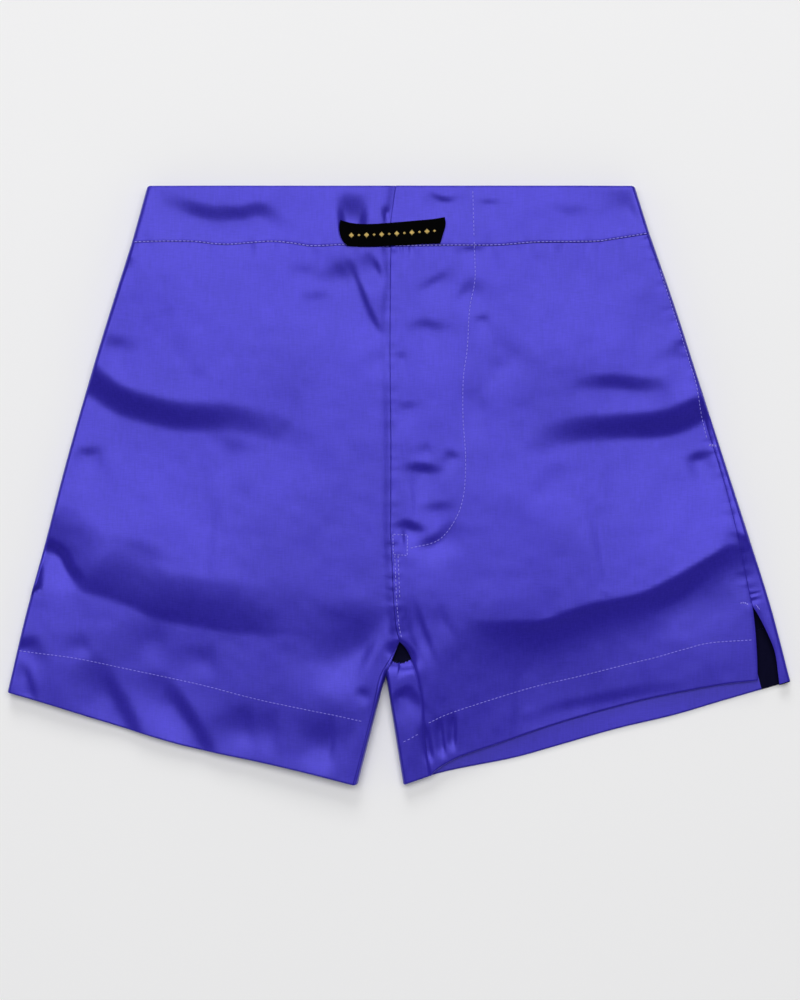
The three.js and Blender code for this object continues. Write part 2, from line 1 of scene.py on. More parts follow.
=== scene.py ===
"""Satin shorts laid flat on their back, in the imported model's frame.

Lengths are in millimetres in garment coordinates until the last moment: x = 0 is the centre front,
y = 0 the top edge of the waistband, z = 0 the surface that the garment lies on.
"""
import math

import bmesh
import bpy
import numpy as np
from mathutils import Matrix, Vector


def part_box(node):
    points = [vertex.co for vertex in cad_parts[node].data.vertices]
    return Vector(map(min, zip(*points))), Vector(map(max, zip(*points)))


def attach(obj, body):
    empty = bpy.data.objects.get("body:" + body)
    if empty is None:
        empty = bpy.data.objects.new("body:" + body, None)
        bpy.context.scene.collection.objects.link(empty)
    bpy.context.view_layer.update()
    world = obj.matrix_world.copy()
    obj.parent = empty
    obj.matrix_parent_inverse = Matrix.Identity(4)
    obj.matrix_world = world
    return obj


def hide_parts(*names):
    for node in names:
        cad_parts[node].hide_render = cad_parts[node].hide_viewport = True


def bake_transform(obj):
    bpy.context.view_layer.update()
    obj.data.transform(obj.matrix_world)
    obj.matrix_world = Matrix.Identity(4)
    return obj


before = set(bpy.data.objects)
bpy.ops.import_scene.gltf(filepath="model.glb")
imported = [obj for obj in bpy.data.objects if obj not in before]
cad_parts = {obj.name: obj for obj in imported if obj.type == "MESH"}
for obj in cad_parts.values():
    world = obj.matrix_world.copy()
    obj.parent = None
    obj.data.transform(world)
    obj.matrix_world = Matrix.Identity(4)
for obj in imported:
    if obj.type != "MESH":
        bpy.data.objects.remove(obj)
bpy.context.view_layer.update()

MM = 0.001

# The centre front and the waist's top edge, from the end of the waistband that lies on top.
overlap_low, overlap_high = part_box("waistband_overlap_end")
SEAM_GAP = 0.15
ORIGIN = np.array([overlap_low[0] / MM - SEAM_GAP, overlap_high[1] / MM, 0.0])

rng = np.random.default_rng(11)


def to_row(points):
    """Garment millimetres to the row frame's metres."""
    return (np.asarray(points, float) + ORIGIN) * MM


# ---- Curves in plan ----
class Curve:
    """A smooth line through points. at(0) is its start and at(1) its end, by length."""

    def __init__(self, points, steps=24):
        p = np.asarray(points, float)
        if len(p) > 2:
            ends = [2 * p[0] - p[1], *p, 2 * p[-1] - p[-2]]
            t = np.linspace(0, 1, steps, endpoint=False)[:, None]
            runs = []
            for a, b, c, d in zip(ends, ends[1:], ends[2:], ends[3:]):
                square, cube = 2 * a - 5 * b + 4 * c - d, 3 * b - a - 3 * c + d
                runs.append(0.5 * (2 * b + (c - a) * t + square * t**2 + cube * t**3))
            p = np.vstack([*runs, p[-1:]])
        self.points = p
        self.run = np.concatenate([[0], np.cumsum(np.linalg.norm(np.diff(p, axis=0), axis=1))])
        self.length = self.run[-1]

    def at(self, t):
        s = np.clip(np.asarray(t, float), 0, 1) * self.length
        return np.stack([np.interp(s, self.run, self.points[:, k]) for k in (0, 1)], -1)

    def part(self, start, end, n=60):
        return Curve(self.at(np.linspace(start, end, n)))


def joined(*curves):
    return Curve(np.vstack([curves[0].points, *[c.points[1:] for c in curves[1:]]]), 1)


def near(points, line, reach):
    """Signed distance to a line (positive to the left of its run) and the share along it."""
    flat = points.reshape(-1, 2)
    a, b = line.points[:-1], line.points[1:]
    low, high = line.points.min(0) - reach, line.points.max(0) + reach
    inside = np.all((flat > low) & (flat < high), axis=1)
    away = np.full(len(flat), 1e6)
    share = np.zeros(len(flat))
    p = flat[inside]
    if len(p):
        ab = b - a
        lengths = np.maximum((ab**2).sum(1), 1e-12)
        t = np.clip(((p[:, None] - a) * ab).sum(2) / lengths, 0, 1)
        gap = p[:, None] - (a + t[..., None] * ab)
        d = np.sqrt((gap**2).sum(2))
        k = d.argmin(1)
        i = np.arange(len(p))
        side = np.sign(ab[k, 0] * gap[i, k, 1] - ab[k, 1] * gap[i, k, 0])
        away[inside] = d[i, k] * np.where(side == 0, 1, side)
        share[inside] = (line.run[k] + t[i, k] * np.sqrt(lengths[k])) / line.length
    return away.reshape(points.shape[:-1]), share.reshape(points.shape[:-1])


def smooth(x):
    x = np.clip(x, 0, 1)
    return x * x * (3 - 2 * x)


# ---- The pattern: seams and edges as they lie ----
WAIST_RIGHT, WAIST_LEFT = (-185.5, 0), (185.5, 0)
HEM_RIGHT_OUT, HEM_LEFT_OUT = (-291.4, -382.5), (303.5, -374.6)
CROTCH = (-4.0, -369)
HEM_RIGHT_IN, HEM_LEFT_IN = (-25.5, -452.5), (9.5, -452.8)
RISE_FOOT = (6.6, -344)
inner_right = Curve([CROTCH, HEM_RIGHT_IN])
inner_left = Curve([CROTCH, HEM_LEFT_IN])
band_seam = Curve(
    [(-197.1, -41.8), (-174, -41.2), (-150, -41.2), (-134, -43.0), (-121, -43.3), (-108, -42.2)]
    + [(-90, -41.2), (-74, -42.7), (-62, -44.6), (-49, -44.4), (-37, -43.8), (-22, -44.8), (0, -44.8)]
    + [(37, -44.2), (80, -44.0), (110, -41.8), (153, -41.2), (168, -39.4), (196.5, -34.8)]
)
waist_edge = Curve([WAIST_RIGHT, WAIST_LEFT])


def bowed(top, foot, bow):
    """A side edge from top to foot that bulges sideways by the amounts in bow, at even steps."""
    share = np.linspace(0, 1, len(bow))[:, None]
    points = np.asarray(top) * (1 - share) + np.asarray(foot) * share
    points[:, 0] += bow
    return Curve(points)


side_right = bowed(band_seam.at(0), HEM_RIGHT_OUT, (0, -2.2, -3.6, -3.8, -2.8, -2.4, 0))
side_left = bowed(band_seam.at(1), HEM_LEFT_OUT, (0, 1.8, 2.2, 2.6, 3.0, 3.0, 0))
fold_right = joined(Curve([WAIST_RIGHT, band_seam.at(0)]), side_right)
fold_left = joined(Curve([WAIST_LEFT, band_seam.at(1)]), side_left)
free_edge = Curve([(0.2, -44.8), (-0.4, -120), (0.3, -200), (0, -262)])
band_free_edge = Curve([(3.8, 0), (1.6, -15), (0.2, -26), (0.2, -44.8)])
rise = Curve([(0, -262), (1.2, -285), (2.3, -312), (4.2, -332), RISE_FOOT])
inseam_left = Curve(
    [RISE_FOOT, (12, -350.5), (17.5, -362), (22.4, -381.5), (24.3, -399), (26, -418), (29.5, -446)]
)
inseam_right = Curve(
    [RISE_FOOT, (-0.5, -357), (-8.5, -372), (-14.5, -398), (-22, -428), (-28.8, -452.8)]
)
hem_right = Curve(
    [HEM_RIGHT_OUT, (-262, -391), (-219.6, -404), (-157, -422.5), (-96, -435.5), (-61, -443.5),
     HEM_RIGHT_IN]
)
hem_back_left = Curve(
    [HEM_LEFT_IN, (42, -443), (92, -433), (123, -424.5), (172, -410.5), (216, -400), (255, -388.5),
     HEM_LEFT_OUT]
)
hem_front_left = Curve(
    [(29.5, -446), (36, -440), (45.6, -434.4), (55.5, -430), (84, -420.5), (123, -407.4),
     (162, -396), (201, -386.2), (249, -377), (279, -373.5)]
)
VENT_DEPTH = 19.0  # how much of the back panel shows in the open vent
pocket_foot = (245.4, -198)
side_seam = Curve(
    [(194.8, -35.3), (205.7, -65), (216.9, -98), (225.4, -125), (232.9, -150), (238.4, -175)]
    + [pocket_foot, (250.4, -214), (257.6, -240), (266, -276), (272.6, -308), (275, -318)]
)
vent_front = Curve([(275, -318), (277, -335), (278.4, -355), (279, -373.5)])
vent_back = Curve([(275, -318), (280, -326), (286.5, -339), (292.2, -354), (295.4, -377.2)])
centre_back = Curve([(0, -44.8), (0, -150), (1, -300), CROTCH])

# ---- The lie of the cloth: height of the front above the floor ----
FRONT = 16.2  # the front layer
MIDDLE = 6.2  # the widest point of a rolled edge
FLOOR_GAP = 0.45  # below the back layer
ROLL = 2.3  # how far a rolled edge reaches inwards
FOLDS = [fold_right, fold_left, inner_right, inner_left]

# Each fold: (points, drop, width, fall-back, share of each end that fades, profile), where the last two
# may be left out. The cloth is higher to the left of the line's run. A SOFT fold is steepest on its
# line. A CREASE ends on its line, where the cloth bends sharply. A LEDGE starts there and flattens out
# over its width.
SOFT, CREASE, LEDGE = "soft", "crease", "ledge"
CREASES = [
    # across the wearer's right thigh
    ([(-250, -125), (-233, -140), (-219, -152), (-198, -164), (-160, -173), (-119, -175),
      (-69, -188), (-35, -196)], 6.3, 25, 90, (0.12, 0.8)),
    ([(-227, -110), (-210, -116), (-185, -122)], 1.0, 14, 26),
    ([(-242, -198), (-230, -200), (-217, -197)], 0.9, 8, 16),
    ([(-141, -189), (-115, -196), (-98, -214)], 0.7, 16, 30),
    ([(-276, -277), (-262, -277), (-252, -281), (-244, -296), (-235, -306), (-216, -311),
      (-197, -318), (-176, -327), (-120, -337), (-69, -339),
      (-35, -334)], 5.2, 38, 120, (0.05, 0.5), CREASE),
    ([(-274, -269), (-259, -270), (-249, -277), (-242, -290), (-229, -302)], 2.2, 7, 12, 0.4),
    ([(-224, -264), (-183, -277), (-153, -287)], 0.9, 16, 34),
    ([(-297, -350), (-283, -347), (-265, -340)], 1.6, 8, 14),
    # its hem, one soft fold after another
    ([(-280, -354), (-274, -374), (-268, -398)], 1.2, 6, 9, 0.4),
    ([(-233, -336), (-230, -348), (-228, -359)], 0.5, 5, 14),
    ([(-224, -350), (-212, -377), (-198, -403), (-183, -438)], 2.1, 14, 17, (0.4, 0.2)),
    ([(-179, -362), (-160, -391), (-145, -413), (-131, -441)], 1.9, 13, 16, (0.4, 0.2)),
    ([(-182, -321), (-173, -344), (-168, -368)], 0.7, 14, 18),
    ([(-107, -391), (-106, -412), (-105, -433)], 0.9, 9, 22),
    ([(-85, -392), (-87, -413), (-90, -438)], 1.0, 8, 22),
    ([(-136, -344), (-135, -362), (-133, -375)], 0.7, 10, 22),
    ([(-41, -398), (-44, -423), (-46, -450)], 1.7, 7, 24),
    ([(-21, -398), (-30, -421), (-33, -451)], 0.8, 7, 16),
    ([(-2, -315), (-8, -336), (-22, -365), (-27, -394)], 2.6, 12, 30),
    ([(-14, -344), (-34, -365), (-46, -389)], 1.2, 16, 30),
    ([(-30, -388), (-22, -382), (-13, -389)], 1.0, 6, 14),
    # across the wearer's left thigh
    ([(87, -201), (113, -192), (136, -185), (159, -182), (197, -180), (214, -177), (232, -169),
      (247, -160)], 7.4, 23, 90, (0.8, 0.1)),
    ([(125, -153), (159, -147), (197, -149), (227, -144)], 2.1, 13, 34),
    ([(197, -137), (214, -123), (227, -108)], 1.3, 14, 26),
    ([(220, -208), (235, -203), (247, -199)], 1.6, 8, 18),
    ([(45, -324), (66, -330), (93, -331), (117, -330), (151, -318), (189, -310), (214, -298),
      (235, -286), (258, -272), (284, -255), (315, -237)], 7.0, 13, 220, (0.26, 0.26), LEDGE),
    ([(189, -322), (220, -306), (244, -287)], 1.2, 12, 24),
    ([(100, -237), (125, -214), (144, -201)], 0.7, 18, 40),
    ([(75, -109), (98, -123), (113, -146)], 0.8, 20, 36),
    ([(168, -88), (194, -88), (227, -99)], 0.9, 32, 40, (0.5, 0.2)),
    ([(256, -258), (264, -264), (271, -272)], 0.9, 6, 12),
    # its hem and the crotch
    ([(28, -406), (30, -421), (33, -439)], 1.5, 3.2, 5, 0.35),
    ([(39, -401), (40, -418), (43, -435)], 1.4, 3.2, 5, 0.35),
    ([(49, -397), (49, -413), (49, -430)], 1.4, 3.2, 5, 0.35),
    ([(16, -302), (22, -325), (31, -350), (36, -366)], 1.3, 6, 16),
    ([(34, -310), (43, -328), (54, -347)], 0.6, 8, 20),
    ([(13, -316), (17, -344), (28, -365)], 1.2, 6, 14),
    ([(-5, -356), (-2, -350), (3, -347), (8, -347), (15, -353), (22, -365)], 4.5, 7, 15),
    ([(1, -382), (8, -383), (16, -377)], 1.6, 8, 16),
    ([(83, -409), (128, -394), (189, -382), (235, -374)], 0.8, 9, 20),
    # beside the fly
    ([(-36, -47), (-30, -58), (-24, -73), (-15, -96), (-2, -119)], 1.7, 6, 20, (0.3, 0.3)),
    ([(-18, -46), (-13, -55), (-8, -64), (-4, -79)], 1.5, 5, 14),
    ([(-38, -55), (-34, -67), (-30, -82)], 0.6, 5, 12),
    ([(-2, -78), (-3, -108), (-2, -146)], 0.9, 4, 12),
    ([(-14, -114), (-5, -131), (-1, -149)], 0.6, 6, 12),
    ([(-75, -79), (-60, -82), (-39, -78)], 0.9, 10, 20),
    ([(-75, -56), (-65, -62), (-55, -56)], 0.5, 8, 14),
    # on the fly
    ([(16, -78), (25, -74), (36, -68), (48, -59)], 0.9, 7, 16),
    ([(45, -90), (54, -79), (62, -64)], 0.9, 8, 16),
    ([(4, -109), (22, -103), (37, -105), (54, -105)], 0.9, 9, 20),
    ([(1, -128), (7, -127), (14, -126)], 0.5, 5, 12),
    ([(59, -98), (66, -99), (77, -97)], 0.7, 4, 10),
    ([(1, -164), (10, -165), (25, -164)], 0.5, 4, 14),
    ([(28, -192), (30, -201), (31, -208)], 0.4, 4, 10),
    ([(40, -199), (48, -203), (55, -206)], 0.9, 5, 10),
    ([(4, -214), (16, -212), (30, -213), (45, -215)], 1.5, 7, 24),
    ([(16, -243), (30, -242), (54, -240)], 0.8, 8, 18),
    ([(-1, -258), (10, -255), (21, -258), (31, -260)], 1.7, 6, 12),
    ([(10, -276), (25, -272), (36, -268), (45, -258), (54, -250)], 1.5, 7, 12, 0.5, CREASE),
    ([(69, -140), (72, -176), (75, -201)], 0.7, 9, 22),
    # on the waistband
    ([(-183, -3), (-160, -12), (-138, -19), (-115, -19), (-98, -17), (-83, -27),
      (-68, -38)], 1.7, 14, 24, 0.35),
    ([(-43, -15), (-34, -14), (-27, -14), (-15, -15)], 2.9, 25, 9, (0.3, 0.35)),
    ([(-8, -18), (-4, -17), (1, -18)], 1.1, 7, 8, 0.4),
    ([(27, -1), (33, -6), (40, -9), (47, -8), (51, -2)], 0.9, 4, 10),
    ([(63, -10), (74, -11), (87, -10)], 0.5, 3, 10),
    ([(46, -49), (60, -46), (75, -47)], 0.5, 5, 12),
    ([(182, 0), (183, -15), (188, -32)], 1.3, 8, 16),
    ([(-212, -55), (-203, -54), (-191, -55)], 0.9, 4, 10),
    ([(113, -12), (136, -17), (159, -12)], 0.5, 10, 18),
]


def fold(points, drop, width, back, fade=0.5, profile=SOFT):
    """One of the folds above, with its line as a curve."""
    return Curve(points), drop, width, back, fade, profile


CREASES = [fold(*entry) for entry in CREASES]


RIPPLE_GRID = 96


def ripples(points, cell, seed):
    """Smooth waves of about one cell's size, from -1 to 1, the same for the same seed."""
    grid = np.random.default_rng(seed).uniform(-1, 1, (RIPPLE_GRID, RIPPLE_GRID))
    x, y = points[..., 0] / cell + 40, points[..., 1] / cell + 60
    i, j = np.floor(x).astype(int), np.floor(y).astype(int)
    u, v = smooth(x - i), smooth(y - j)

    def corner(a, b):
        return grid[(i + a) % RIPPLE_GRID, (j + b) % RIPPLE_GRID]

    near_row = corner(0, 0) * (1 - u) + corner(1, 0) * u
    far_row = corner(0, 1) * (1 - u) + corner(1, 1) * u
    return near_row * (1 - v) + far_row * v


# Seams whose stitching gathers the cloth: (line, swell, length of a wave).
PUCKERED = [(band_seam, 0.30, 7.0), (side_seam, 0.22, 7.0)]
PUCKERED += [(rise, 0.3, 6.0), (free_edge, 0.12, 11.0)]
PUCKER_REACH = 5.5
HEM_DEPTH = 49.0


def height(points):
    """How high the front layer lies, away from the rolled edges."""
    z = np.full(points.shape[:-1], FRONT)
    x, y = points[..., 0], points[..., 1]
    # The legs lie lower towards the hems, the left leg and the far right side most.
    sink = 2.4 + 3.0 * smooth((-x - 120) / 90) + 4.2 * smooth((x + 40) / 80)
    z = z - sink * smooth((-y - 300) / 180)
    # Broad waves away from the fly, and small ones everywhere.
    z = z + 0.9 * ripples(points, 62, 3) * smooth((np.abs(x) - 40) / 60)
    z = z + 0.16 * ripples(points * [1.4, 0.8], 17, 5) + 0.07 * ripples(points, 8, 6)
    for line, drop, width, back, fade, profile in CREASES:
        s, t = near(points, line, width + 2.5 * back)
        if profile == SOFT:
            s = s + 0.5 * width
            shape = np.where(s > 0, 1 - smooth(s / width), np.exp(-((s / back) ** 2)))
        elif profile == CREASE:
            slope = (1 - np.clip(s / width, 0, 1)) ** 1.5
            shape = np.where(s > 0, slope, np.exp(-((s / back) ** 2)))
        else:
            below = np.maximum(1.5 - s, 0)
            shape = (1 - np.exp(-((below / width) ** 1.15))) * np.exp(-((below / back) ** 2))
        start, end = fade if isinstance(fade, tuple) else (fade, fade)
        ends = smooth(t / start) * smooth((1 - t) / end)
        z = z - np.where((t <= 0) | (t >= 1), 0, drop * shape * ends)
    for line, amount, wave in PUCKERED:
        s, t = near(points, line, 14)
        run = t * line.length / wave
        swell = np.sin(2 * math.pi * (run + 0.35 * np.sin(run * 1.7)))
        z = z + amount * swell * np.exp(-((s / PUCKER_REACH) ** 2))
    return z


def edge_distance(points):
    """Distance to the nearest folded edge of the garment."""
    return np.min([np.abs(near(points, f, 30)[0]) for f in FOLDS], axis=0)


def place(points, side=1, lift=0.0):
    """Plan points on the front (side 1) or the back (side -1), moved outwards by lift."""
    d = np.clip(edge_distance(points) / ROLL, 0, 1)
    roll = np.sqrt(np.maximum(1 - (1 - d) ** 2, 0))
    if side > 0:
        z = MIDDLE + (height(points) - MIDDLE) * roll + lift * np.maximum(roll, 0.25)
    else:
        bottom = FLOOR_GAP + 0.35 * (1 + ripples(points, 48, 9)) - lift
        z = MIDDLE - (MIDDLE - bottom) * roll
    return np.concatenate([points, z[..., None]], -1)


LAP_LINE = joined(band_free_edge, free_edge, rise)
LAP_REACH = 50.0
LAP_FOOT = -350.0
LAP_SWELL = 0.55
LAP_DIP = 1.3


def from_lap(points, beyond):
    """Signed distance to the left front's edge, positive on it, or beyond where it is far away."""
    s, _ = near(points, LAP_LINE, LAP_REACH)
    return np.where(np.abs(s) < LAP_REACH, s, beyond)


def lap_swell(points):
    """How far the cloth on top rises towards its edge."""
    return LAP_SWELL * np.exp(-((np.maximum(from_lap(points, LAP_REACH), 0) / 16) ** 2))


def lap_dip(points):
    """How far the cloth below sinks as it goes under that edge."""
    return LAP_DIP * smooth(1 + from_lap(points, -LAP_REACH) / 9)


def on_left(points, lift=0.0):
    """On the front of the wearer's left half, which lies on top at the fly."""
    q = place(points, 1, lift)
    q[..., 2] += lap_swell(points) * smooth((points[..., 1] - LAP_FOOT) / 12)
    return q


def on_right(points, lift=0.0):
    """On the front of the wearer's right half, which dips under the fly's edge."""
    q = place(points, 1, lift)
    q[..., 2] -= lap_dip(points) * smooth((points[..., 1] - LAP_FOOT) / 14)
    return q


def spaced(length, step, start=(), end=()):
    """Shares of a length: small steps near its ends, even ones between."""
    start, end = np.asarray(start, float), np.asarray(end, float)
    a = start[-1] if len(start) else 0.0
    b = length - (end[-1] if len(end) else 0.0)
    n = max(2, int(round((b - a) / step)))
    return np.unique(np.concatenate([start, np.linspace(a, b, n + 1), length - end])) / length


ROLLED = ROLL * (1 - np.cos(np.linspace(0, math.pi / 2, 9)))  # columns round a rolled edge
FINE = (0, 0.5, 1.1, 2.0, 3.4, 5.2)  # columns beside a seam
STEP = 2.5
BACK_STEP = STEP + 0.6


def dip(gap, depth, width):
    """How far cloth sinks at a seam or a hollow, by the distance from it."""
    return depth * np.exp(-((gap / width) ** 2))


def coons(top, bottom, left, right, u, v):
    """Plan points inside four edges. top and bottom run left to right, left and right downwards."""
    t, b = top.at(u)[None], bottom.at(u)[None]
    l, r = left.at(v)[:, None], right.at(v)[:, None]
    uu, vv = u[None, :, None], v[:, None, None]
    corners = (1 - uu) * (1 - vv) * t[:, :1] + uu * (1 - vv) * t[:, -1:]
    corners = corners + (1 - uu) * vv * b[:, :1] + uu * vv * b[:, -1:]
    return (1 - vv) * t + vv * b + (1 - uu) * l + uu * r - corners


# ---- Sheets of cloth ----
def cells_of(grid):
    """Rows and columns of the grid's faces."""
    ok = np.isfinite(grid[..., 0])
    return np.nonzero(ok[:-1, :-1] & ok[1:, :-1] & ok[1:, 1:] & ok[:-1, 1:])


def faces_of(grid):
    i = np.arange(grid.shape[0] * grid.shape[1]).reshape(grid.shape[:2])
    quads = np.stack([i[:-1, :-1], i[1:, :-1], i[1:, 1:], i[:-1, 1:]], -1)
    return quads[cells_of(grid)]


def normals(grid, outward=1):
    """Unit normals at the grid's points. outward is 1 or -1, whichever makes them point outwards."""
    flat = np.nan_to_num(grid.reshape(-1, 3))
    q = faces_of(grid)
    n = np.cross(flat[q[:, 2]] - flat[q[:, 0]], flat[q[:, 3]] - flat[q[:, 1]])
    total = np.zeros_like(flat)
    for k in range(4):
        np.add.at(total, q[:, k], n)
    total /= np.maximum(np.linalg.norm(total, axis=1, keepdims=True), 1e-12)
    return outward * total.reshape(grid.shape)


def turned(grid, depth, radius=0.75, outward=1, bend_steps=4, skip=0):
    """The grid with its end folded back on the inside, over a rounded edge. skip leaves columns out."""
    n = normals(grid, outward)
    last, before = grid[-1], grid[-2]
    onward = last - before
    onward -= (onward * n[-1]).sum(-1, keepdims=True) * n[-1]
    onward /= np.maximum(np.linalg.norm(onward, axis=-1, keepdims=True), 1e-9)
    angles = np.linspace(0, math.pi, bend_steps + 2)[1:-1]
    rows = [last + radius * (math.sin(a) * onward - (1 - math.cos(a)) * n[-1]) for a in angles]
    run = np.nanmedian(np.linalg.norm(grid[::-1] - last, axis=-1), axis=1)
    back = [k for k in range(len(grid)) if run[k] <= depth]
    rows += [grid[-1 - k] - 2 * radius * n[-1 - k] for k in back]
    rows = np.array(rows)
    rows[:, :skip] = np.nan
    return np.concatenate([grid, rows])


def turned_side(grid, depth, radius=0.75, outward=1, first=False):
    """The same along the grid's last column, or its first."""
    turned_grid = grid[:, ::-1] if first else grid
    out = turned(turned_grid.transpose(1, 0, 2), depth, radius, outward if first else -outward)
    out = out.transpose(1, 0, 2)
    return out[:, ::-1] if first else out


def mesh_object(name, vertices, faces):
    mesh = bpy.data.meshes.new(name)
    mesh.from_pydata(to_row(vertices).tolist(), [], [list(map(int, f)) for f in faces])
    mesh.validate()
    obj = bpy.data.objects.new(name, mesh)
    bpy.context.scene.collection.objects.link(obj)
    mesh.shade_smooth()
    return obj


def settle(obj):
    """Keep what the modifiers made as the piece's own mesh."""
    evaluated = obj.evaluated_get(bpy.context.evaluated_depsgraph_get())
    mesh = bpy.data.meshes.new_from_object(evaluated)
    obj.modifiers.clear()
    obj.data = mesh
    obj.data.shade_smooth()


def sheet(name, grid, materials, thickness=0.5, outward=1):
    """A piece of cloth from a grid, with its thickness. Its right side is outward."""
    faces = faces_of(grid)
    if outward < 0:
        faces = faces[:, ::-1]
    used = np.unique(faces)
    index = np.full(grid.shape[0] * grid.shape[1], -1)
    index[used] = np.arange(len(used))
    obj = mesh_object(name, grid.reshape(-1, 3)[used], index[faces])
    for m in materials:
        obj.data.materials.append(m)
    solid = obj.modifiers.new("thickness", "SOLIDIFY")
    solid.thickness = thickness * MM
    solid.offset = 0
    solid.use_even_offset = False
    solid.material_offset = len(materials) - 1
    settle(obj)
    return obj


def tubes(name, paths, radii, material, sides=6):
    """Many short rods in one mesh: paths is (rods, points, 3), with a radius for each point."""
    n, k = paths.shape[:2]
    onward = np.gradient(paths, axis=1)
    onward /= np.linalg.norm(onward, axis=-1, keepdims=True)
    across = np.cross(onward, [0, 0, 1.0])
    across /= np.maximum(np.linalg.norm(across, axis=-1, keepdims=True), 1e-9)
    up = np.cross(across, onward)
    angle = np.linspace(0, 2 * math.pi, sides, endpoint=False)
    r = np.asarray(radii)[None, :, None, None]
    ring = across[:, :, None] * np.cos(angle)[:, None] + up[:, :, None] * np.sin(angle)[:, None]
    points = (paths[:, :, None] + r * ring).reshape(-1, 3)
    i = np.arange(n * k * sides).reshape(n, k, sides)
    a, b = i[:, :-1], i[:, 1:]
    quads = np.stack([a, np.roll(a, -1, 2), np.roll(b, -1, 2), b], -1).reshape(-1, 4)
    faces = [*quads, *i[:, 0, ::-1], *i[:, -1]]
    obj = mesh_object(name, points, faces)
    obj.data.materials.append(material)
    return obj


def turned_shape(name, profile, centre, material, sides=36):
    """A round piece from its profile, a list of (radius, height) from axis to axis."""
    angle = np.linspace(0, 2 * math.pi, sides, endpoint=False)
    circle = np.stack([np.cos(angle), np.sin(angle), np.zeros(sides)], -1)
    rings = [r * circle + [0, 0, z] for r, z in profile[1:-1]]
    points = np.vstack([[[0, 0, profile[0][1]]], *rings, [[0, 0, profile[-1][1]]]]) + centre
    faces = [(0, 1 + (k + 1) % sides, 1 + k) for k in range(sides)]
    for j in range(len(rings) - 1):
        a, b = 1 + j * sides, 1 + (j + 1) * sides
        faces += [(a + k, a + (k + 1) % sides, b + (k + 1) % sides, b + k) for k in range(sides)]
    last, end = 1 + (len(rings) - 1) * sides, len(points) - 1
    faces += [(last + k, last + (k + 1) % sides, end) for k in range(sides)]
    obj = mesh_object(name, points, faces)
    bm = bmesh.new()
    bm.from_mesh(obj.data)
    bmesh.ops.recalc_face_normals(bm, faces=bm.faces)
    bm.to_mesh(obj.data)
    bm.free()
    obj.data.shade_smooth()
    obj.data.set_sharp_from_angle(angle=math.radians(38))
    obj.data.materials.append(material)
    return obj


# ---- Materials ----
def node(tree, kind, **inputs):
    made = tree.nodes.new(kind)
    for key, value in inputs.items():
        if key in made.inputs:
            made.inputs[key].default_value = value
        else:
            setattr(made, key, value)
    return made


def material(name, sockets):
    """A new material, its node tree and its shader, with the shader's own sockets set."""
    made = bpy.data.materials.new(name)
    made.use_nodes = True
    shader = made.node_tree.nodes["Principled BSDF"]
    for socket, value in sockets.items():
        shader.inputs[socket].default_value = value
    return made, made.node_tree, shader


def noise(tree, scale, detail, stretch=None):
    """Noise fixed to the piece, finer along the axes where stretch is large."""
    vector = node(tree, "ShaderNodeTexCoord").outputs["Object"]
    if stretch:
        mapping = node(tree, "ShaderNodeMapping")
        mapping.inputs["Scale"].default_value = stretch
        tree.links.new(vector, mapping.inputs["Vector"])
        vector = mapping.outputs[0]
    made = node(tree, "ShaderNodeTexNoise", Scale=scale, Detail=detail)
    tree.links.new(vector, made.inputs["Vector"])
    return made.outputs["Fac"]


def ramp(tree, factor, low, high, start=0.0, end=1.0):
    """A colour that runs from low to high as the factor goes from start to end."""
    made = node(tree, "ShaderNodeValToRGB")
    for stop, position, colour in zip(made.color_ramp.elements, (start, end), (low, high)):
        stop.position = position
        stop.color = (*colour, 1)
    tree.links.new(factor, made.inputs["Fac"])
    return made.outputs["Color"]


def cloth(
    name, colour, shade, roughness, metallic=0.0, sheen=0.0, weave=0.35, slub=0.06, bump=0.25,
    tint=None, gloss=0.5,
):
    """A woven cloth: warp and weft as fine bumps, slubs as long streaks, a slow change of colour."""
    sockets = {"Roughness": roughness, "Metallic": metallic, "Specular IOR Level": gloss}
    sockets.update({"Sheen Weight": sheen, "Sheen Roughness": 0.5})
    if tint:
        sockets["Sheen Tint"] = (*tint, 1)
    made, tree, shader = material(name, sockets)
    slubs = noise(tree, 1.0, 2.0, (850, 80, 850))
    picks = noise(tree, 1.0, 1.0, (160, 1500, 1500))
    broad = noise(tree, 14.0, 3.0)
    both = node(tree, "ShaderNodeMath", operation="ADD")
    tree.links.new(slubs, both.inputs[0])
    tree.links.new(picks, both.inputs[1])
    soft = node(tree, "ShaderNodeMath", operation="MULTIPLY")
    soft.inputs[1].default_value = 1 - weave
    tree.links.new(broad, soft.inputs[0])
    mixed = node(tree, "ShaderNodeMath", operation="MULTIPLY_ADD")
    mixed.inputs[1].default_value = weave
    tree.links.new(both.outputs[0], mixed.inputs[0])
    tree.links.new(soft.outputs[0], mixed.inputs[2])
    woven = ramp(tree, mixed.outputs[0], shade, colour, 0.32 * (1 + weave), 0.66 * (1 + weave))
    tree.links.new(woven, shader.inputs["Base Color"])
    relief = node(tree, "ShaderNodeBump", Strength=bump, Distance=slub * MM)
    tree.links.new(both.outputs[0], relief.inputs["Height"])
    tree.links.new(relief.outputs["Normal"], shader.inputs["Normal"])
    return made


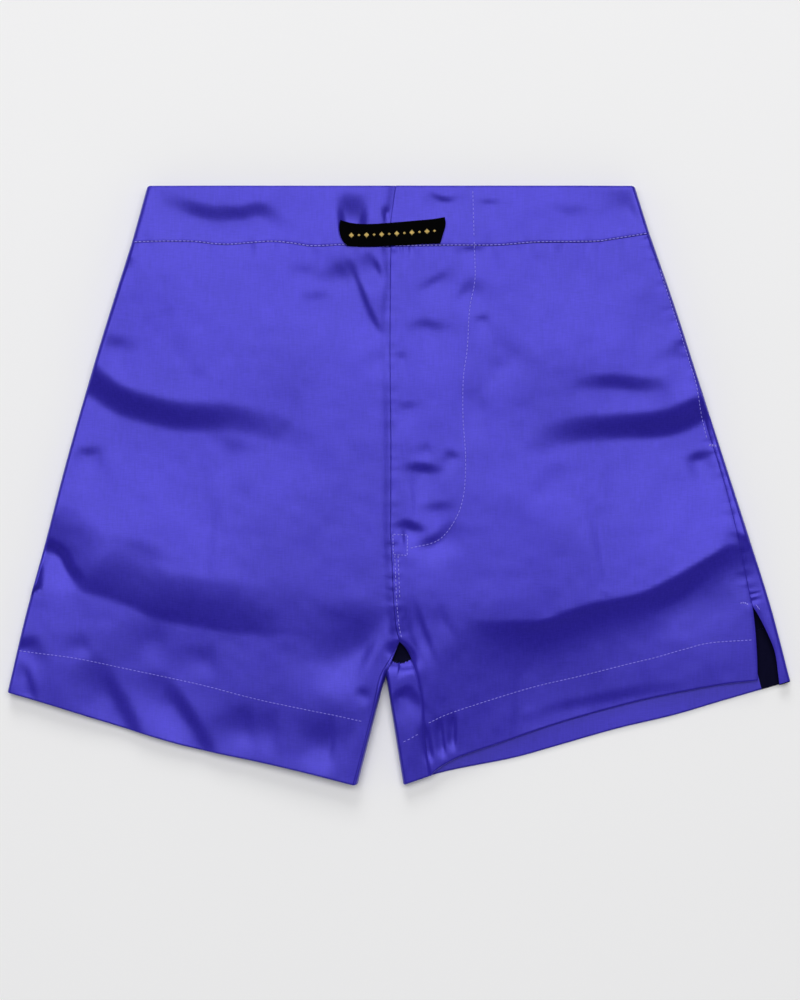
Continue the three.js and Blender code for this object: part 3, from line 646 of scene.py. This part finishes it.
SATIN = cloth(
    "satin", (0.031, 0.0185, 0.435), (0.019, 0.0115, 0.335), 0.36, metallic=0.31, gloss=0.38,
    sheen=0.05, weave=0.6, tint=(0.5, 0.45, 1.0),
)
# The satin's wrong side: matt, and its colour darkened further as painted shade where it shows under
# the hems and inside the leg.
DULL_AND_SHADED = cloth("satin_wrong_side_and_painted_shade", (0.025, 0.019, 0.21), (0.016, 0.013, 0.15), 0.75, gloss=0.10)
# Near-black cloth that paints the shade behind the open vent and in the hollow under the crotch.
PAINTED_SHADE = cloth("painted_shade_cloth", (0.004, 0.0035, 0.020), (0.002, 0.002, 0.012), 0.9, gloss=0.05)
CANVAS = cloth(
    "interlining_canvas", (0.72, 0.71, 0.66), (0.58, 0.57, 0.52), 0.85, slub=0.2, bump=0.6
)
ELASTIC = cloth("woven_elastic", (0.82, 0.82, 0.84), (0.62, 0.62, 0.66), 0.75, slub=0.3, bump=0.8)
THREAD = cloth("thread", (0.33, 0.29, 0.95), (0.24, 0.21, 0.82), 0.5, sheen=0.1)
LABEL = cloth(
    "label_damask", (0.0014, 0.0014, 0.0016), (0.0006, 0.0006, 0.0008), 0.9, slub=0.12, bump=0.5,
    gloss=0.02,
)
GOLD = cloth("gold_thread", (0.80, 0.60, 0.20), (0.62, 0.44, 0.12), 0.4, metallic=0.3, slub=0.1)
CARE = cloth("care_ribbon", (0.86, 0.86, 0.84), (0.76, 0.76, 0.74), 0.45, slub=0.05)


def metal(name):
    """Plated metal, a little mottled in colour and gloss."""
    made, tree, shader = material(name, {"Metallic": 1.0})
    mottle = noise(tree, 900.0, 4.0)
    plated = ramp(tree, mottle, (0.50, 0.51, 0.53), (0.72, 0.73, 0.75))
    tree.links.new(plated, shader.inputs["Base Color"])
    rough = node(tree, "ShaderNodeMapRange")
    rough.inputs["To Min"].default_value = 0.22
    rough.inputs["To Max"].default_value = 0.42
    tree.links.new(mottle, rough.inputs["Value"])
    tree.links.new(rough.outputs["Result"], shader.inputs["Roughness"])
    return made


SNAP = metal("plated_steel")
CLOTH = [SATIN, DULL_AND_SHADED]


def bends(obj):
    """The piece crosses the fly's fold line."""
    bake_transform(obj)


def finish_piece(obj, body, slot, *nodes):
    if body == "bends":
        bends(obj)
    else:
        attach(obj, body)
    if nodes:
        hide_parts(*nodes)


# ---- Panels ----
LEG_ROWS = 360.0
PANEL_WIDTH = 245.0
FRONT_LEFT_WIDTH = 235.0
HEM_ROWS = (0, 0.5, 1.2, 2.4, 4.2, 6.4)
V = spaced(LEG_ROWS, STEP, FINE, HEM_ROWS)
UNDER = 14.0  # how far the right front goes on below the side fold
HEM_TURN = 0.6  # the radius of a hem's fold
HOLLOW = 6.5  # how far the cloth sinks into the leg just under the crotch
TINY = 1e-9
# The waist seam is cut where it crosses the centre front.
crossing = np.argmin(np.abs(band_seam.at(np.linspace(0, 1, 400))[:, 0])) / 399


def wrapped(edge, seam, shares, reach, depth, width):
    """Cloth that turns round a folded edge to a seam on the front, where it sinks a little."""
    plan = edge + (seam[:, None] - edge) * shares[None, 1:, None]
    strip = place(plan, 1)
    strip[..., 2] -= dip((1 - shares[None, 1:]) * reach, depth, width)
    return strip


# Front panel of the wearer's right leg: round the side fold to a seam on the underside.
top = band_seam.part(0, crossing)
left = side_right
right = joined(free_edge, rise, inseam_right)
U = spaced(PANEL_WIDTH, STEP, ROLLED, FINE)
P = coons(top, hem_right, left, right, U, V)
front = on_right(P)
k = np.searchsorted(U * PANEL_WIDTH, UNDER)
under = place(P[:, 1:k], -1)[:, ::-1]
more = np.stack([P[:, -1] + [dx, 0] for dx in (2, 4, 6.5, 9)], 1)
beyond = place(more, 1)
beyond[..., 2] -= LAP_DIP
beyond[P[:, -1, 1] < -338] = np.nan
grid = np.concatenate([under, front, beyond], 1)
grid = turned(grid, HEM_DEPTH, HEM_TURN, outward=1)
front_right = sheet("front_panel_right_cloth", grid, CLOTH)
finish_piece(front_right, "garment", "satin", "front_panel_right")

# Front panel of the wearer's left leg, with the fly overlap.
top = band_seam.part(crossing, 1)
left = joined(free_edge, rise, inseam_left)
right = joined(side_seam, vent_front)
U = spaced(FRONT_LEFT_WIDTH, STEP, (*FINE, *np.arange(6.6, 36, 1.3)), FINE)
P = coons(top, hem_front_left, left, right, U, V)
front = on_left(P)
on_inseam = 1 - smooth((P[:, :1, 1] - LAP_FOOT) / 12)
from_inseam, from_side = U[None, :] * FRONT_LEFT_WIDTH, (1 - U[None, :]) * FRONT_LEFT_WIDTH
front[..., 2] -= on_inseam * dip(from_inseam, 0.5, 1.1) + dip(from_side, 0.3, 1.4)
lapped = turned_side(front, 8.0, 0.3, outward=1, first=True)
grid = turned(lapped, HEM_DEPTH, 1.0, outward=1, skip=lapped.shape[1] - front.shape[1])
front_left = sheet("front_panel_left_cloth", grid, CLOTH)
finish_piece(front_left, "bends", "satin", "front_panel_left", "fly_overlap")

# Back panel of the left leg: round the inner fold and the side fold on to the front.
left = joined(centre_back, inner_left)
v_crotch = centre_back.length / left.length
v_hollow = v_crotch + (1 - v_crotch) * np.arange(0, 0.31, 0.009)
V_back = [V[V < v_crotch - 0.003], v_hollow, V[V > v_hollow[-1] + 0.003]]
V_back = np.unique(np.concatenate(V_back))
right = side_left
U = spaced(PANEL_WIDTH, BACK_STEP, FINE, ROLLED)
P = coons(top, hem_back_left, left, right, U, V_back)
main = place(P, -1)
left_side = spaced(12.0, 1.4, (0, 0.12, 0.45, 1.1, 2.0), (0, 0.4, 1.0))
wrap_side = wrapped(P[:, -1:], joined(side_seam, vent_back).at(V_back), left_side, 10, 0.3, 1.4)
left_inner = spaced(24.0, 0.9, ROLLED, (0, 0.4, 1.0, 2.0))
share = np.clip((V_back - v_crotch) / (1 - v_crotch), 0, 1)
wrap_inner = wrapped(P[:, :1], inseam_left.at(share), left_inner, 24, 0.5, 1.1)
down = -wrap_inner[..., 1] + RISE_FOOT[1]
sinks = np.clip((wrap_inner[..., 2] - MIDDLE) / 8, 0, 1)
wrap_inner[..., 2] -= dip(down - 7, HOLLOW, 9) * sinks
wrap_inner[V_back < v_crotch - TINY] = np.nan
grid = np.concatenate([wrap_inner[:, ::-1], main, wrap_side], 1)
grid = turned(grid, HEM_DEPTH, HEM_TURN, outward=-1)
back_left = sheet("back_panel_left_cloth", grid, CLOTH, outward=-1)
rows, cols = cells_of(grid)
# The inside of the leg is in shade, painted with near-black cloth: behind the open vent, and in the
# hollow under the crotch.
first = wrap_inner.shape[1] + np.searchsorted(U * PANEL_WIDTH, PANEL_WIDTH - VENT_DEPTH)
behind = (cols >= first) & (rows >= np.searchsorted(V_back, 0.80))
back_left.data.materials.append(PAINTED_SHADE)
for k in np.nonzero(behind)[0]:
    hem = rows[k] >= len(V_back) - 1
    back_left.data.polygons[int(k if hem else k + len(rows))].material_index = 2
centre = grid[rows, cols] + grid[rows + 1, cols] + grid[rows, cols + 1] + grid[rows + 1, cols + 1]
centre /= 4
# Painted shade: faces of the inner wrap in the hollow under the crotch get the near-black cloth.
deep = ((centre[:, 0] - 7) / 12) ** 2 + ((centre[:, 1] + 350) / 11) ** 2 < 1
for k in np.nonzero(deep & (cols < wrap_inner.shape[1]) & (centre[:, 2] > 2))[0]:
    back_left.data.polygons[int(k)].material_index = 2
finish_piece(back_left, "garment", "satin", "back_panel_left")

# Back panel of the right leg.
right = joined(centre_back, inner_right)
top = band_seam.part(0, crossing)
left = side_right
U = spaced(PANEL_WIDTH, BACK_STEP, ROLLED, FINE)
P = coons(top, hem_right, left, right, U, V_back)
k = np.searchsorted(U * PANEL_WIDTH, UNDER + 0.6)
main = place(P[:, k:], -1)
right_inner = spaced(8.0, 1.2, (0, 0.12, 0.45, 1.1), (0, 0.4, 1.0))
wrap_inner = wrapped(P[:, -1:], inseam_right.at(share), right_inner, 6, 0.4, 1.2)
wrap_inner[V_back < v_crotch - TINY] = np.nan
grid = np.concatenate([main, wrap_inner], 1)
grid = turned(grid, HEM_DEPTH, HEM_TURN, outward=-1)
back_right = sheet("back_panel_right_cloth", grid, CLOTH, outward=-1)
finish_piece(back_right, "garment", "satin", "back_panel_right")

# ---- Waistband ----
BAND_LIFT = 0.2
BAND_DEPTH = 43.0
BAND_FACING = 41.0  # how far the band goes on down the inside
BAND_TURN = 1.2
BAND_HALF = 190.0  # the length of each front half, about
WAIST = 371.0
V_band = spaced(BAND_DEPTH, 2.0, FINE, FINE)


def band_grid(top_part, seam_part, left, right, u, side):
    """A length of the band. Its rows run up to the top edge, where the band folds over."""
    p = coons(top_part, seam_part, left, right, u, V_band)[::-1]
    g = place(p, side, BAND_LIFT if side > 0 else 0)
    g[..., 2] -= side * dip((1 - V_band[::-1]) * BAND_DEPTH, 0.25, 0.8)[:, None]
    return p, g


cf = (band_free_edge.points[0, 0] - WAIST_RIGHT[0]) / WAIST
top_r, top_l = waist_edge.part(0, cf), waist_edge.part(cf, 1)
seam_r, seam_l = band_seam.part(0, crossing), band_seam.part(crossing, 1)
edge_r = Curve([WAIST_RIGHT, band_seam.at(0)])
edge_l = Curve([WAIST_LEFT, band_seam.at(1)])
U = spaced(BAND_HALF, STEP, ROLLED, FINE)
p, g = band_grid(top_r, seam_r, edge_r, band_free_edge, U, 1)
g[..., 2] -= lap_dip(p)
k = np.searchsorted(U * BAND_HALF, UNDER)
_, low_part = band_grid(top_r, seam_r, edge_r, band_free_edge, U, -1)
# Its under end goes on below the overlap.
more = place(np.stack([p[:, -1] + [dx, 0] for dx in (3, 7, 12, 20, 32, 44)], 1), 1, BAND_LIFT)
more[..., 2] -= np.array([2.0, 3.6, 4.8, 5.2, 5.2, 5.2])
grid = np.concatenate([low_part[:, 1:k][:, ::-1], g, more], 1)
grid = turned(grid, BAND_FACING, BAND_TURN, outward=-1)
band_right = sheet("waistband_front_right_cloth", grid, CLOTH, outward=-1)
finish_piece(band_right, "garment", "satin", "waistband_front_right")

U = spaced(BAND_HALF, STEP, FINE, (0, 0.12, 0.5, 1.1, 2.0, 3.0, 4.4, 6.2, 8.2))
p, g = band_grid(top_l, seam_l, band_free_edge, edge_l, U, 1)
g[..., 2] += lap_swell(p)
lapped = turned_side(g, 8.0, 0.3, outward=-1, first=True)
grid = turned(lapped, BAND_FACING, BAND_TURN, outward=-1, skip=lapped.shape[1] - g.shape[1])
band_left = sheet("waistband_front_left_cloth", grid, CLOTH, outward=-1)
finish_piece(band_left, "bends", "satin", "waistband_front_left", "waistband_overlap_end")

U = spaced(WAIST, BACK_STEP, ROLLED, ROLLED)
p, g = band_grid(waist_edge, band_seam, edge_r, edge_l, U, -1)
k = np.searchsorted(U * WAIST, UNDER + 0.6)
grid = turned(g[:, k:], BAND_FACING, BAND_TURN, outward=1)
band_back = sheet("waistband_back_cloth", grid, CLOTH)
finish_piece(band_back, "garment", "satin", "waistband_back")

# ---- Inside the fly and the waistband ----
J_LINE = Curve(
    [(61.9, -1), (63, -40.5), (63.6, -69.5), (59.5, -93), (57.8, -122), (54.8, -145), (54.6, -175)]
    + [(56.5, -205), (55, -233), (48.6, -252), (35.7, -267.5), (14.4, -273.6)]
)


def shifted(curve, dx, dy=0.0):
    return Curve(curve.points + [dx, dy], 1)


def patch(top, bottom, left, right, across, down, step=2.6):
    return coons(top, bottom, left, right, spaced(across, step), spaced(down, step))


FACING_DEPTH = 2.0  # below the overlap's face
facing_edge = joined(
    Curve([(67, -44.4), (66.5, -60)], 2),
    shifted(J_LINE.part(0.2, 0.965), 3.6, -1.5),
    Curve([(33, -271), (18, -277)], 2),
)
P = patch(
    Curve([(1.4, -45.2), (67, -44.4)]),
    Curve([(1.4, -279), (18, -277)]),
    Curve([(1.4, -45.2), (1.4, -279)]),
    facing_edge,
    66,
    234,
)
G = on_left(P)
G[..., 2] -= FACING_DEPTH
facing = sheet("fly_facing_cloth", G, [DULL_AND_SHADED, DULL_AND_SHADED], 0.5)
finish_piece(facing, "bends", "lining", "fly_facing", "fly_facing_base")

SHIELD_DEPTH = 5.0  # below the front's face
P = patch(
    Curve([(-10, -46), (38, -46)]),
    Curve([(-4, -258), (20, -258), (33, -250), (37, -240)]),
    Curve([(-10, -46), (-10, -200), (-4, -258)]),
    Curve([(38, -46), (38, -235), (37, -240)]),
    48,
    212,
)
G = place(P, 1)
G[..., 2] -= SHIELD_DEPTH
G = turned_side(G, 46.0, 0.5, outward=1)
shield = sheet("fly_shield_cloth", G, CLOTH, 0.45)
finish_piece(shield, "garment", "satin", "fly_shield")

SNAP_X = 9.5
# Half sections of a press stud's two halves: (radius, height).
SOCKET = [(0, 0), (4.1, 0), (4.5, -0.25), (4.5, -0.9), (4.1, -1.3), (2.5, -1.35)]
SOCKET += [(1.95, -1.15), (1.95, -0.45), (0, -0.42)]
STUD = [(0, 0), (4.2, 0), (4.5, 0.14), (4.3, 0.42), (2.2, 0.5), (1.3, 0.62)]
STUD += [(1.22, 1.2), (1.6, 1.45), (1.45, 1.75), (0, 1.8)]
# Where the pairs sit: (name, x, y, socket below the overlap's face, stud below the front's face).
CLOSURES = [("waist", 34, -19.5, -1.9, -4.1)]
CLOSURES += [(f"fly_{k + 1}", SNAP_X, -81.0 - 42 * k, -2.3, 0.28 - SHIELD_DEPTH) for k in range(3)]
for part, x, y, socket_z, stud_z in CLOSURES:
    spot = np.array([[x, y]])
    top, base = on_left(spot)[0, 2], place(spot, 1)[0, 2]
    socket = turned_shape(f"snap_socket_{part}_metal", SOCKET, [x, y, top + socket_z], SNAP)
    finish_piece(socket, "fly_flap", "snap", f"snap_socket_{part}")
    stud = turned_shape(f"snap_stud_{part}_metal", STUD, [x, y, base + stud_z], SNAP)
    finish_piece(stud, "garment", "snap", f"snap_stud_{part}")


def band_strip(x0, x1, y0, y1, side, offset):
    """A strip inside the waistband between two shares of its depth."""
    u = np.linspace(0, 1, int((x1 - x0) / 2.6))
    top = np.stack([x0 + (x1 - x0) * u, np.zeros_like(u)], -1)
    seam_y = np.interp(top[:, 0], band_seam.points[:, 0], band_seam.points[:, 1])
    foot = np.stack([top[:, 0], seam_y], -1)
    v = np.linspace(y0, y1, 16)[:, None, None]
    p = top[None] * (1 - v) + foot[None] * v
    g = place(p, side, BAND_LIFT if side > 0 else 0)
    g[..., 2] += offset
    return p, g


p, G = band_strip(-180, -2, 0.07, 0.94, 1, -1.2)
G[..., 2] -= lap_dip(p)
canvas = sheet("interlining_right_canvas", G, [CANVAS], 0.5)
finish_piece(canvas, "garment", "interlining", "interlining_right")
p, G = band_strip(4.5, 180, 0.07, 0.94, 1, -1.2)
G[..., 2] += lap_swell(p)
canvas = sheet("interlining_left_canvas", G, [CANVAS], 0.5)
finish_piece(canvas, "bends", "interlining", "interlining_left", "interlining_overlap")
p, G = band_strip(-172, 172, 0.1, 0.9, -1, 1.25)
elastic = sheet("waist_elastic_band", G, [ELASTIC], 1.0)
finish_piece(elastic, "garment", "elastic", "waist_elastic")

# ---- Pocket bags and the care label ----
BAG_SHIFT = 14.0  # the right bags lie this much further in


def bag(name, node_name, x_side, side, offset):
    """One layer of a pocket bag. x_side is 1 on the wearer's left; side is 1 below the front."""
    mouth = Curve([(205.5, -62), (218, -112), (231, -160), (241, -197)])
    inner = Curve([(117, -64), (119, -150), (131, -228)])
    foot = Curve([(131, -228), (146, -258), (185, -270), (224, -254), (241, -197)])
    head = Curve([(117, -64), (205.5, -62)])
    shift = 0.0 if x_side > 0 else BAG_SHIFT
    edges = [Curve(c.points * [x_side, 1] + [shift, 0], 1) for c in (head, foot, inner, mouth)]
    p = patch(*edges, 90, 170, 3.5)
    if x_side < 0:
        p = p[:, ::-1]
    g = place(p, side)
    g[..., 2] += offset
    piece = sheet(name, g, [DULL_AND_SHADED], 0.4, outward=side)
    finish_piece(piece, "garment", "lining", node_name)


bag("pocket_bag_left_outer_cloth", "pocket_bag_left_outer", 1, 1, -2.0)
bag("pocket_bag_left_inner_cloth", "pocket_bag_left_inner", 1, 1, -3.4)
bag("pocket_bag_right_outer_cloth", "pocket_bag_right_outer", -1, -1, 1.0)
bag("pocket_bag_right_inner_cloth", "pocket_bag_right_inner", -1, -1, 2.1)

low, high = (np.array(c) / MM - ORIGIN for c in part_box("care_label"))
P = patch(
    Curve([(low[0], high[1]), (high[0], high[1])]),
    Curve([(low[0], low[1]), (high[0], low[1])]),
    Curve([(low[0], high[1]), (low[0], low[1])]),
    Curve([(high[0], high[1]), (high[0], low[1])]),
    28,
    42,
    2.0,
)
G = place(P, -1)
G[..., 2] += 1.0 + 0.25 * np.sin(P[..., 1] / 6)
finish_piece(sheet("care_label_ribbon", G, [CARE], 0.3), "garment", "care_label", "care_label")

# ---- The woven label on the waistband ----
label_top = Curve(
    [(-38.5, -25), (-30, -27.2), (-17.5, -28), (0, -27), (20, -25.3), (32, -24.2), (40.7, -22.8)]
)
label_foot = Curve(
    [(-33.2, -44.6), (-24, -45.2), (-13.7, -45.1), (10.6, -44), (24, -43.2), (37.2, -42.7)]
)
label_left = Curve([(-38.5, -25), (-39.2, -32), (-37.6, -39), (-33.2, -44.6)])
label_right = Curve([(40.7, -22.8), (41.3, -28.5), (39.6, -35), (37.2, -42.7)])


LABEL_LIE = 18.55


def on_label(p):
    """The label's surface, a little wavy, with its two ends curling up."""
    x, y = p[..., 0], p[..., 1]
    z = LABEL_LIE + 0.22 * np.sin(x / 7.5 + 0.8)
    z = z + 0.9 * smooth((-24 - x) / 14) + 0.5 * smooth((x - 28) / 12)
    z = z - 0.35 * smooth((-39 - y) / 5) + 0.25 * smooth((y + 31) / 5)
    return np.concatenate([p, z[..., None]], -1)


P = patch(label_top, label_foot, label_left, label_right, 80, 19, 1.0)
G = on_label(P)
label = sheet("woven_label_cloth", G, [LABEL], 0.55)
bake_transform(label)
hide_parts("woven_label")

# A row of gold lozenges and dots, each woven as upright strands.
STRAND = 0.4
LOZENGE, DOT = (2.3, 2.0, 1.6), (1.1, 1.2, 0.8)  # half height, half width, where its last strand is
motif_line = Curve([(-30, -36.6), (-10, -36), (10, -34.9), (33, -33.2)])
strands = []
for k, (px, py) in enumerate(motif_line.at(np.linspace(0, 1, 12))):
    half, wide, reach = LOZENGE if k % 2 == 0 else DOT
    for dx in np.arange(-reach, reach + 0.01, STRAND):
        tall = half * (1 - abs(dx) / wide)
        ends = np.array([[px + dx, py + t * tall] for t in (-1, -0.6, 0, 0.6, 1)])
        path = on_label(ends)
        path[:, 2] += 0.27 + np.array([-0.12, 0.05, 0.1, 0.05, -0.12])
        strands.append(path)
motif = tubes("woven_label_motif", np.array(strands), [0.1, 0.19, 0.2, 0.19, 0.1], GOLD)
finish_piece(motif, "label", "label")

# ---- Stitching ----
PITCH, STITCH, THICK = 3.0, 2.2, 0.24
WAIST_THICK = 0.36
SINK = np.array([-0.3, 0.02, 0.1, 0.02, -0.3])  # a stitch dips into the cloth at both ends


def stitches(name, lines, lay, body, *nodes, lift=0.0, pitch=PITCH, length=STITCH, thick=THICK):
    """Rows of single stitches on the cloth. lay gives the cloth's surface for points in plan."""
    paths = []
    for line in lines:
        n = max(1, int(line.length / pitch))
        start = (np.arange(n) + 0.5) * line.length / n - length / 2
        start = start + rng.uniform(-0.12, 0.12, n)
        t = (start[:, None] + length * np.linspace(0, 1, 5)) / line.length
        q = lay(line.at(t), lift)
        q[..., 2] += SINK + 0.25 + THICK * 0.4
        paths.append(q)
    obj = tubes(name, np.concatenate(paths), [thick * k for k in (0.55, 1, 1.05, 1, 0.55)], THREAD)
    finish_piece(obj, body, "thread", *nodes)
    return obj


seam_over = shifted(band_seam, 0, 0.4)
cut_r, cut_l = crossing - 0.004, crossing + 0.006
stitches(
    "waist_stitch_right_rows", [seam_over.part(0.006, cut_r)], on_right, "garment",
    "waist_stitch_right", lift=BAND_LIFT, thick=WAIST_THICK,
)
stitches(
    "waist_stitch_left_rows", [seam_over.part(cut_l, 0.994)], on_left, "bends",
    "waist_stitch_left", "waist_stitch_overlap", lift=BAND_LIFT, thick=WAIST_THICK,
)
stitches("fly_j_stitch_rows", [J_LINE.part(0.135, 1)], on_left, "bends", "fly_j_stitch")
stitches("fly_band_stitch_rows", [J_LINE.part(0.004, 0.122)], on_left, "bends", lift=BAND_LIFT)
box_corners = [(1.4, -263), (12.6, -263.6), (12.2, -279), (1.8, -278.4), (1.4, -263)]
stitches(
    "fly_box_stitch_rows", [Curve([a, b]) for a, b in zip(box_corners, box_corners[1:])],
    on_left, "garment", "fly_box_stitch", pitch=2.4, length=1.8,
)
rise_rows = [shifted(rise.part(0.2, 0.97), 1.9), shifted(rise.part(0.2, 0.6), 4.4)]
stitches("rise_stitch_rows", rise_rows, on_left, "garment", "rise_stitch")
hem_line_right = Curve(
    [(-283, -351.5), (-272, -353), (-239, -357.4), (-200, -365.6), (-169.5, -372), (-142, -378)]
    + [(-103, -388), (-65, -396), (-41, -400.8), (-22, -405)]
)
hem_line_left = Curve(
    [(28, -406.6), (49, -397.5), (104, -380.5), (143, -371.2), (181, -361.6), (201, -356.8)]
    + [(224, -350.2), (243, -345.6), (274.5, -343.4)]
)
inner_row = Curve([(8.6, -421), (14, -418.5), (21, -414.6)])
stitches("hem_stitch_right_rows", [hem_line_right], on_right, "garment", "hem_stitch_right")
stitches("hem_stitch_left_rows", [hem_line_left, inner_row], on_left, "garment", "hem_stitch_left")
pocket_row = Curve(
    [(203.6, -62), (217.4, -104), (227.2, -135), (230.8, -147), (234.8, -168), (238.2, -183)]
    + [(240, -190)]
)
stitches("pocket_stitch_rows", [pocket_row], on_left, "garment", "pocket_stitch_left")
TACK_PITCH, TACK_STITCH, TACK_GAP = 1.6, 1.5, 0.5
tack = [Curve([(241.4, -194.6 - TACK_GAP * k), (247.5, -195.4 - TACK_GAP * k)]) for k in range(3)]
stitches(
    "pocket_bartack_rows", tack, on_left, "garment", "pocket_bartack_left",
    pitch=TACK_PITCH, length=TACK_STITCH,
)
tack_points = np.array([(265.4, -315.2), (268.4, -314.8), (271.6, -316.2)])
tack = [Curve(tack_points - [0, TACK_GAP * k]) for k in range(2)]
tack += [Curve([(277.2 + k, -316.4 - k), (279.4 + k, -319.4 - k)]) for k in range(2)]
stitches(
    "vent_bartack_rows", tack, on_left, "garment", "vent_bartack_left",
    pitch=TACK_PITCH, length=TACK_STITCH,
)

# ---- Camera, floor and light ----
PHOTO_CENTRE = (6.8, -237.0)
PHOTO_HEIGHT = 760.0
CAMERA_UP = 2400.0
SHARP_LEVEL = 10.0  # the height at which the picture is PHOTO_HEIGHT tall
SENSOR = 36.0
camera_data = bpy.data.cameras.new("camera")
camera_data.sensor_width = SENSOR
camera_data.lens = SENSOR * (CAMERA_UP - SHARP_LEVEL) / PHOTO_HEIGHT
camera_data.clip_end = 100
camera = bpy.data.objects.new("camera", camera_data)
camera.location = to_row([*PHOTO_CENTRE, CAMERA_UP])
bpy.context.scene.collection.objects.link(camera)
bpy.context.scene.camera = camera


def pale(name, value):
    """Matt paper, very slightly uneven."""
    made, tree, shader = material(name, {"Roughness": 0.9, "Specular IOR Level": 0.1})
    paper = ramp(tree, noise(tree, 3.0, 2.0), (value * 0.99,) * 3, (value,) * 3)
    tree.links.new(paper, shader.inputs["Base Color"])
    return made


bpy.ops.mesh.primitive_plane_add(size=9, location=(0, 0, -0.0002))
floor = bpy.context.object
floor.name = "floor"
floor.data.materials.append(pale("floor_paper", 0.95))


def area_light(name, location, target, size, power, size_y=None):
    data = bpy.data.lights.new(name, "AREA")
    data.shape = "RECTANGLE"
    data.size, data.size_y = size, size_y or size
    data.energy = power
    light = bpy.data.objects.new(name, data)
    light.location = location
    aim = Vector(target) - Vector(location)
    light.rotation_euler = aim.to_track_quat("-Z", "Y").to_euler()
    bpy.context.scene.collection.objects.link(light)


area_light("key", (0.0, 1.5, 7.1), (0, 0.0, 0), 6.6, 350, 3.6)
area_light("fill", (-0.6, 5.2, 3.4), (0, 0, 0), 2.6, 110)
# The room: dim overhead, brighter towards the horizon, so that satin seen from the side has a sheen.
world = bpy.data.worlds.new("studio")
world.use_nodes = True
tree = world.node_tree
direction = node(tree, "ShaderNodeTexCoord")
parts = node(tree, "ShaderNodeSeparateXYZ")
tree.links.new(direction.outputs["Generated"], parts.inputs[0])
room = ramp(tree, parts.outputs["Z"], (0.85, 0.85, 0.87), (0.10, 0.10, 0.105), 0.15, 0.80)
tree.links.new(room, tree.nodes["Background"].inputs["Color"])
tree.nodes["Background"].inputs["Strength"].default_value = 0.6
bpy.context.scene.world = world
bpy.context.scene.view_settings.view_transform = "Standard"
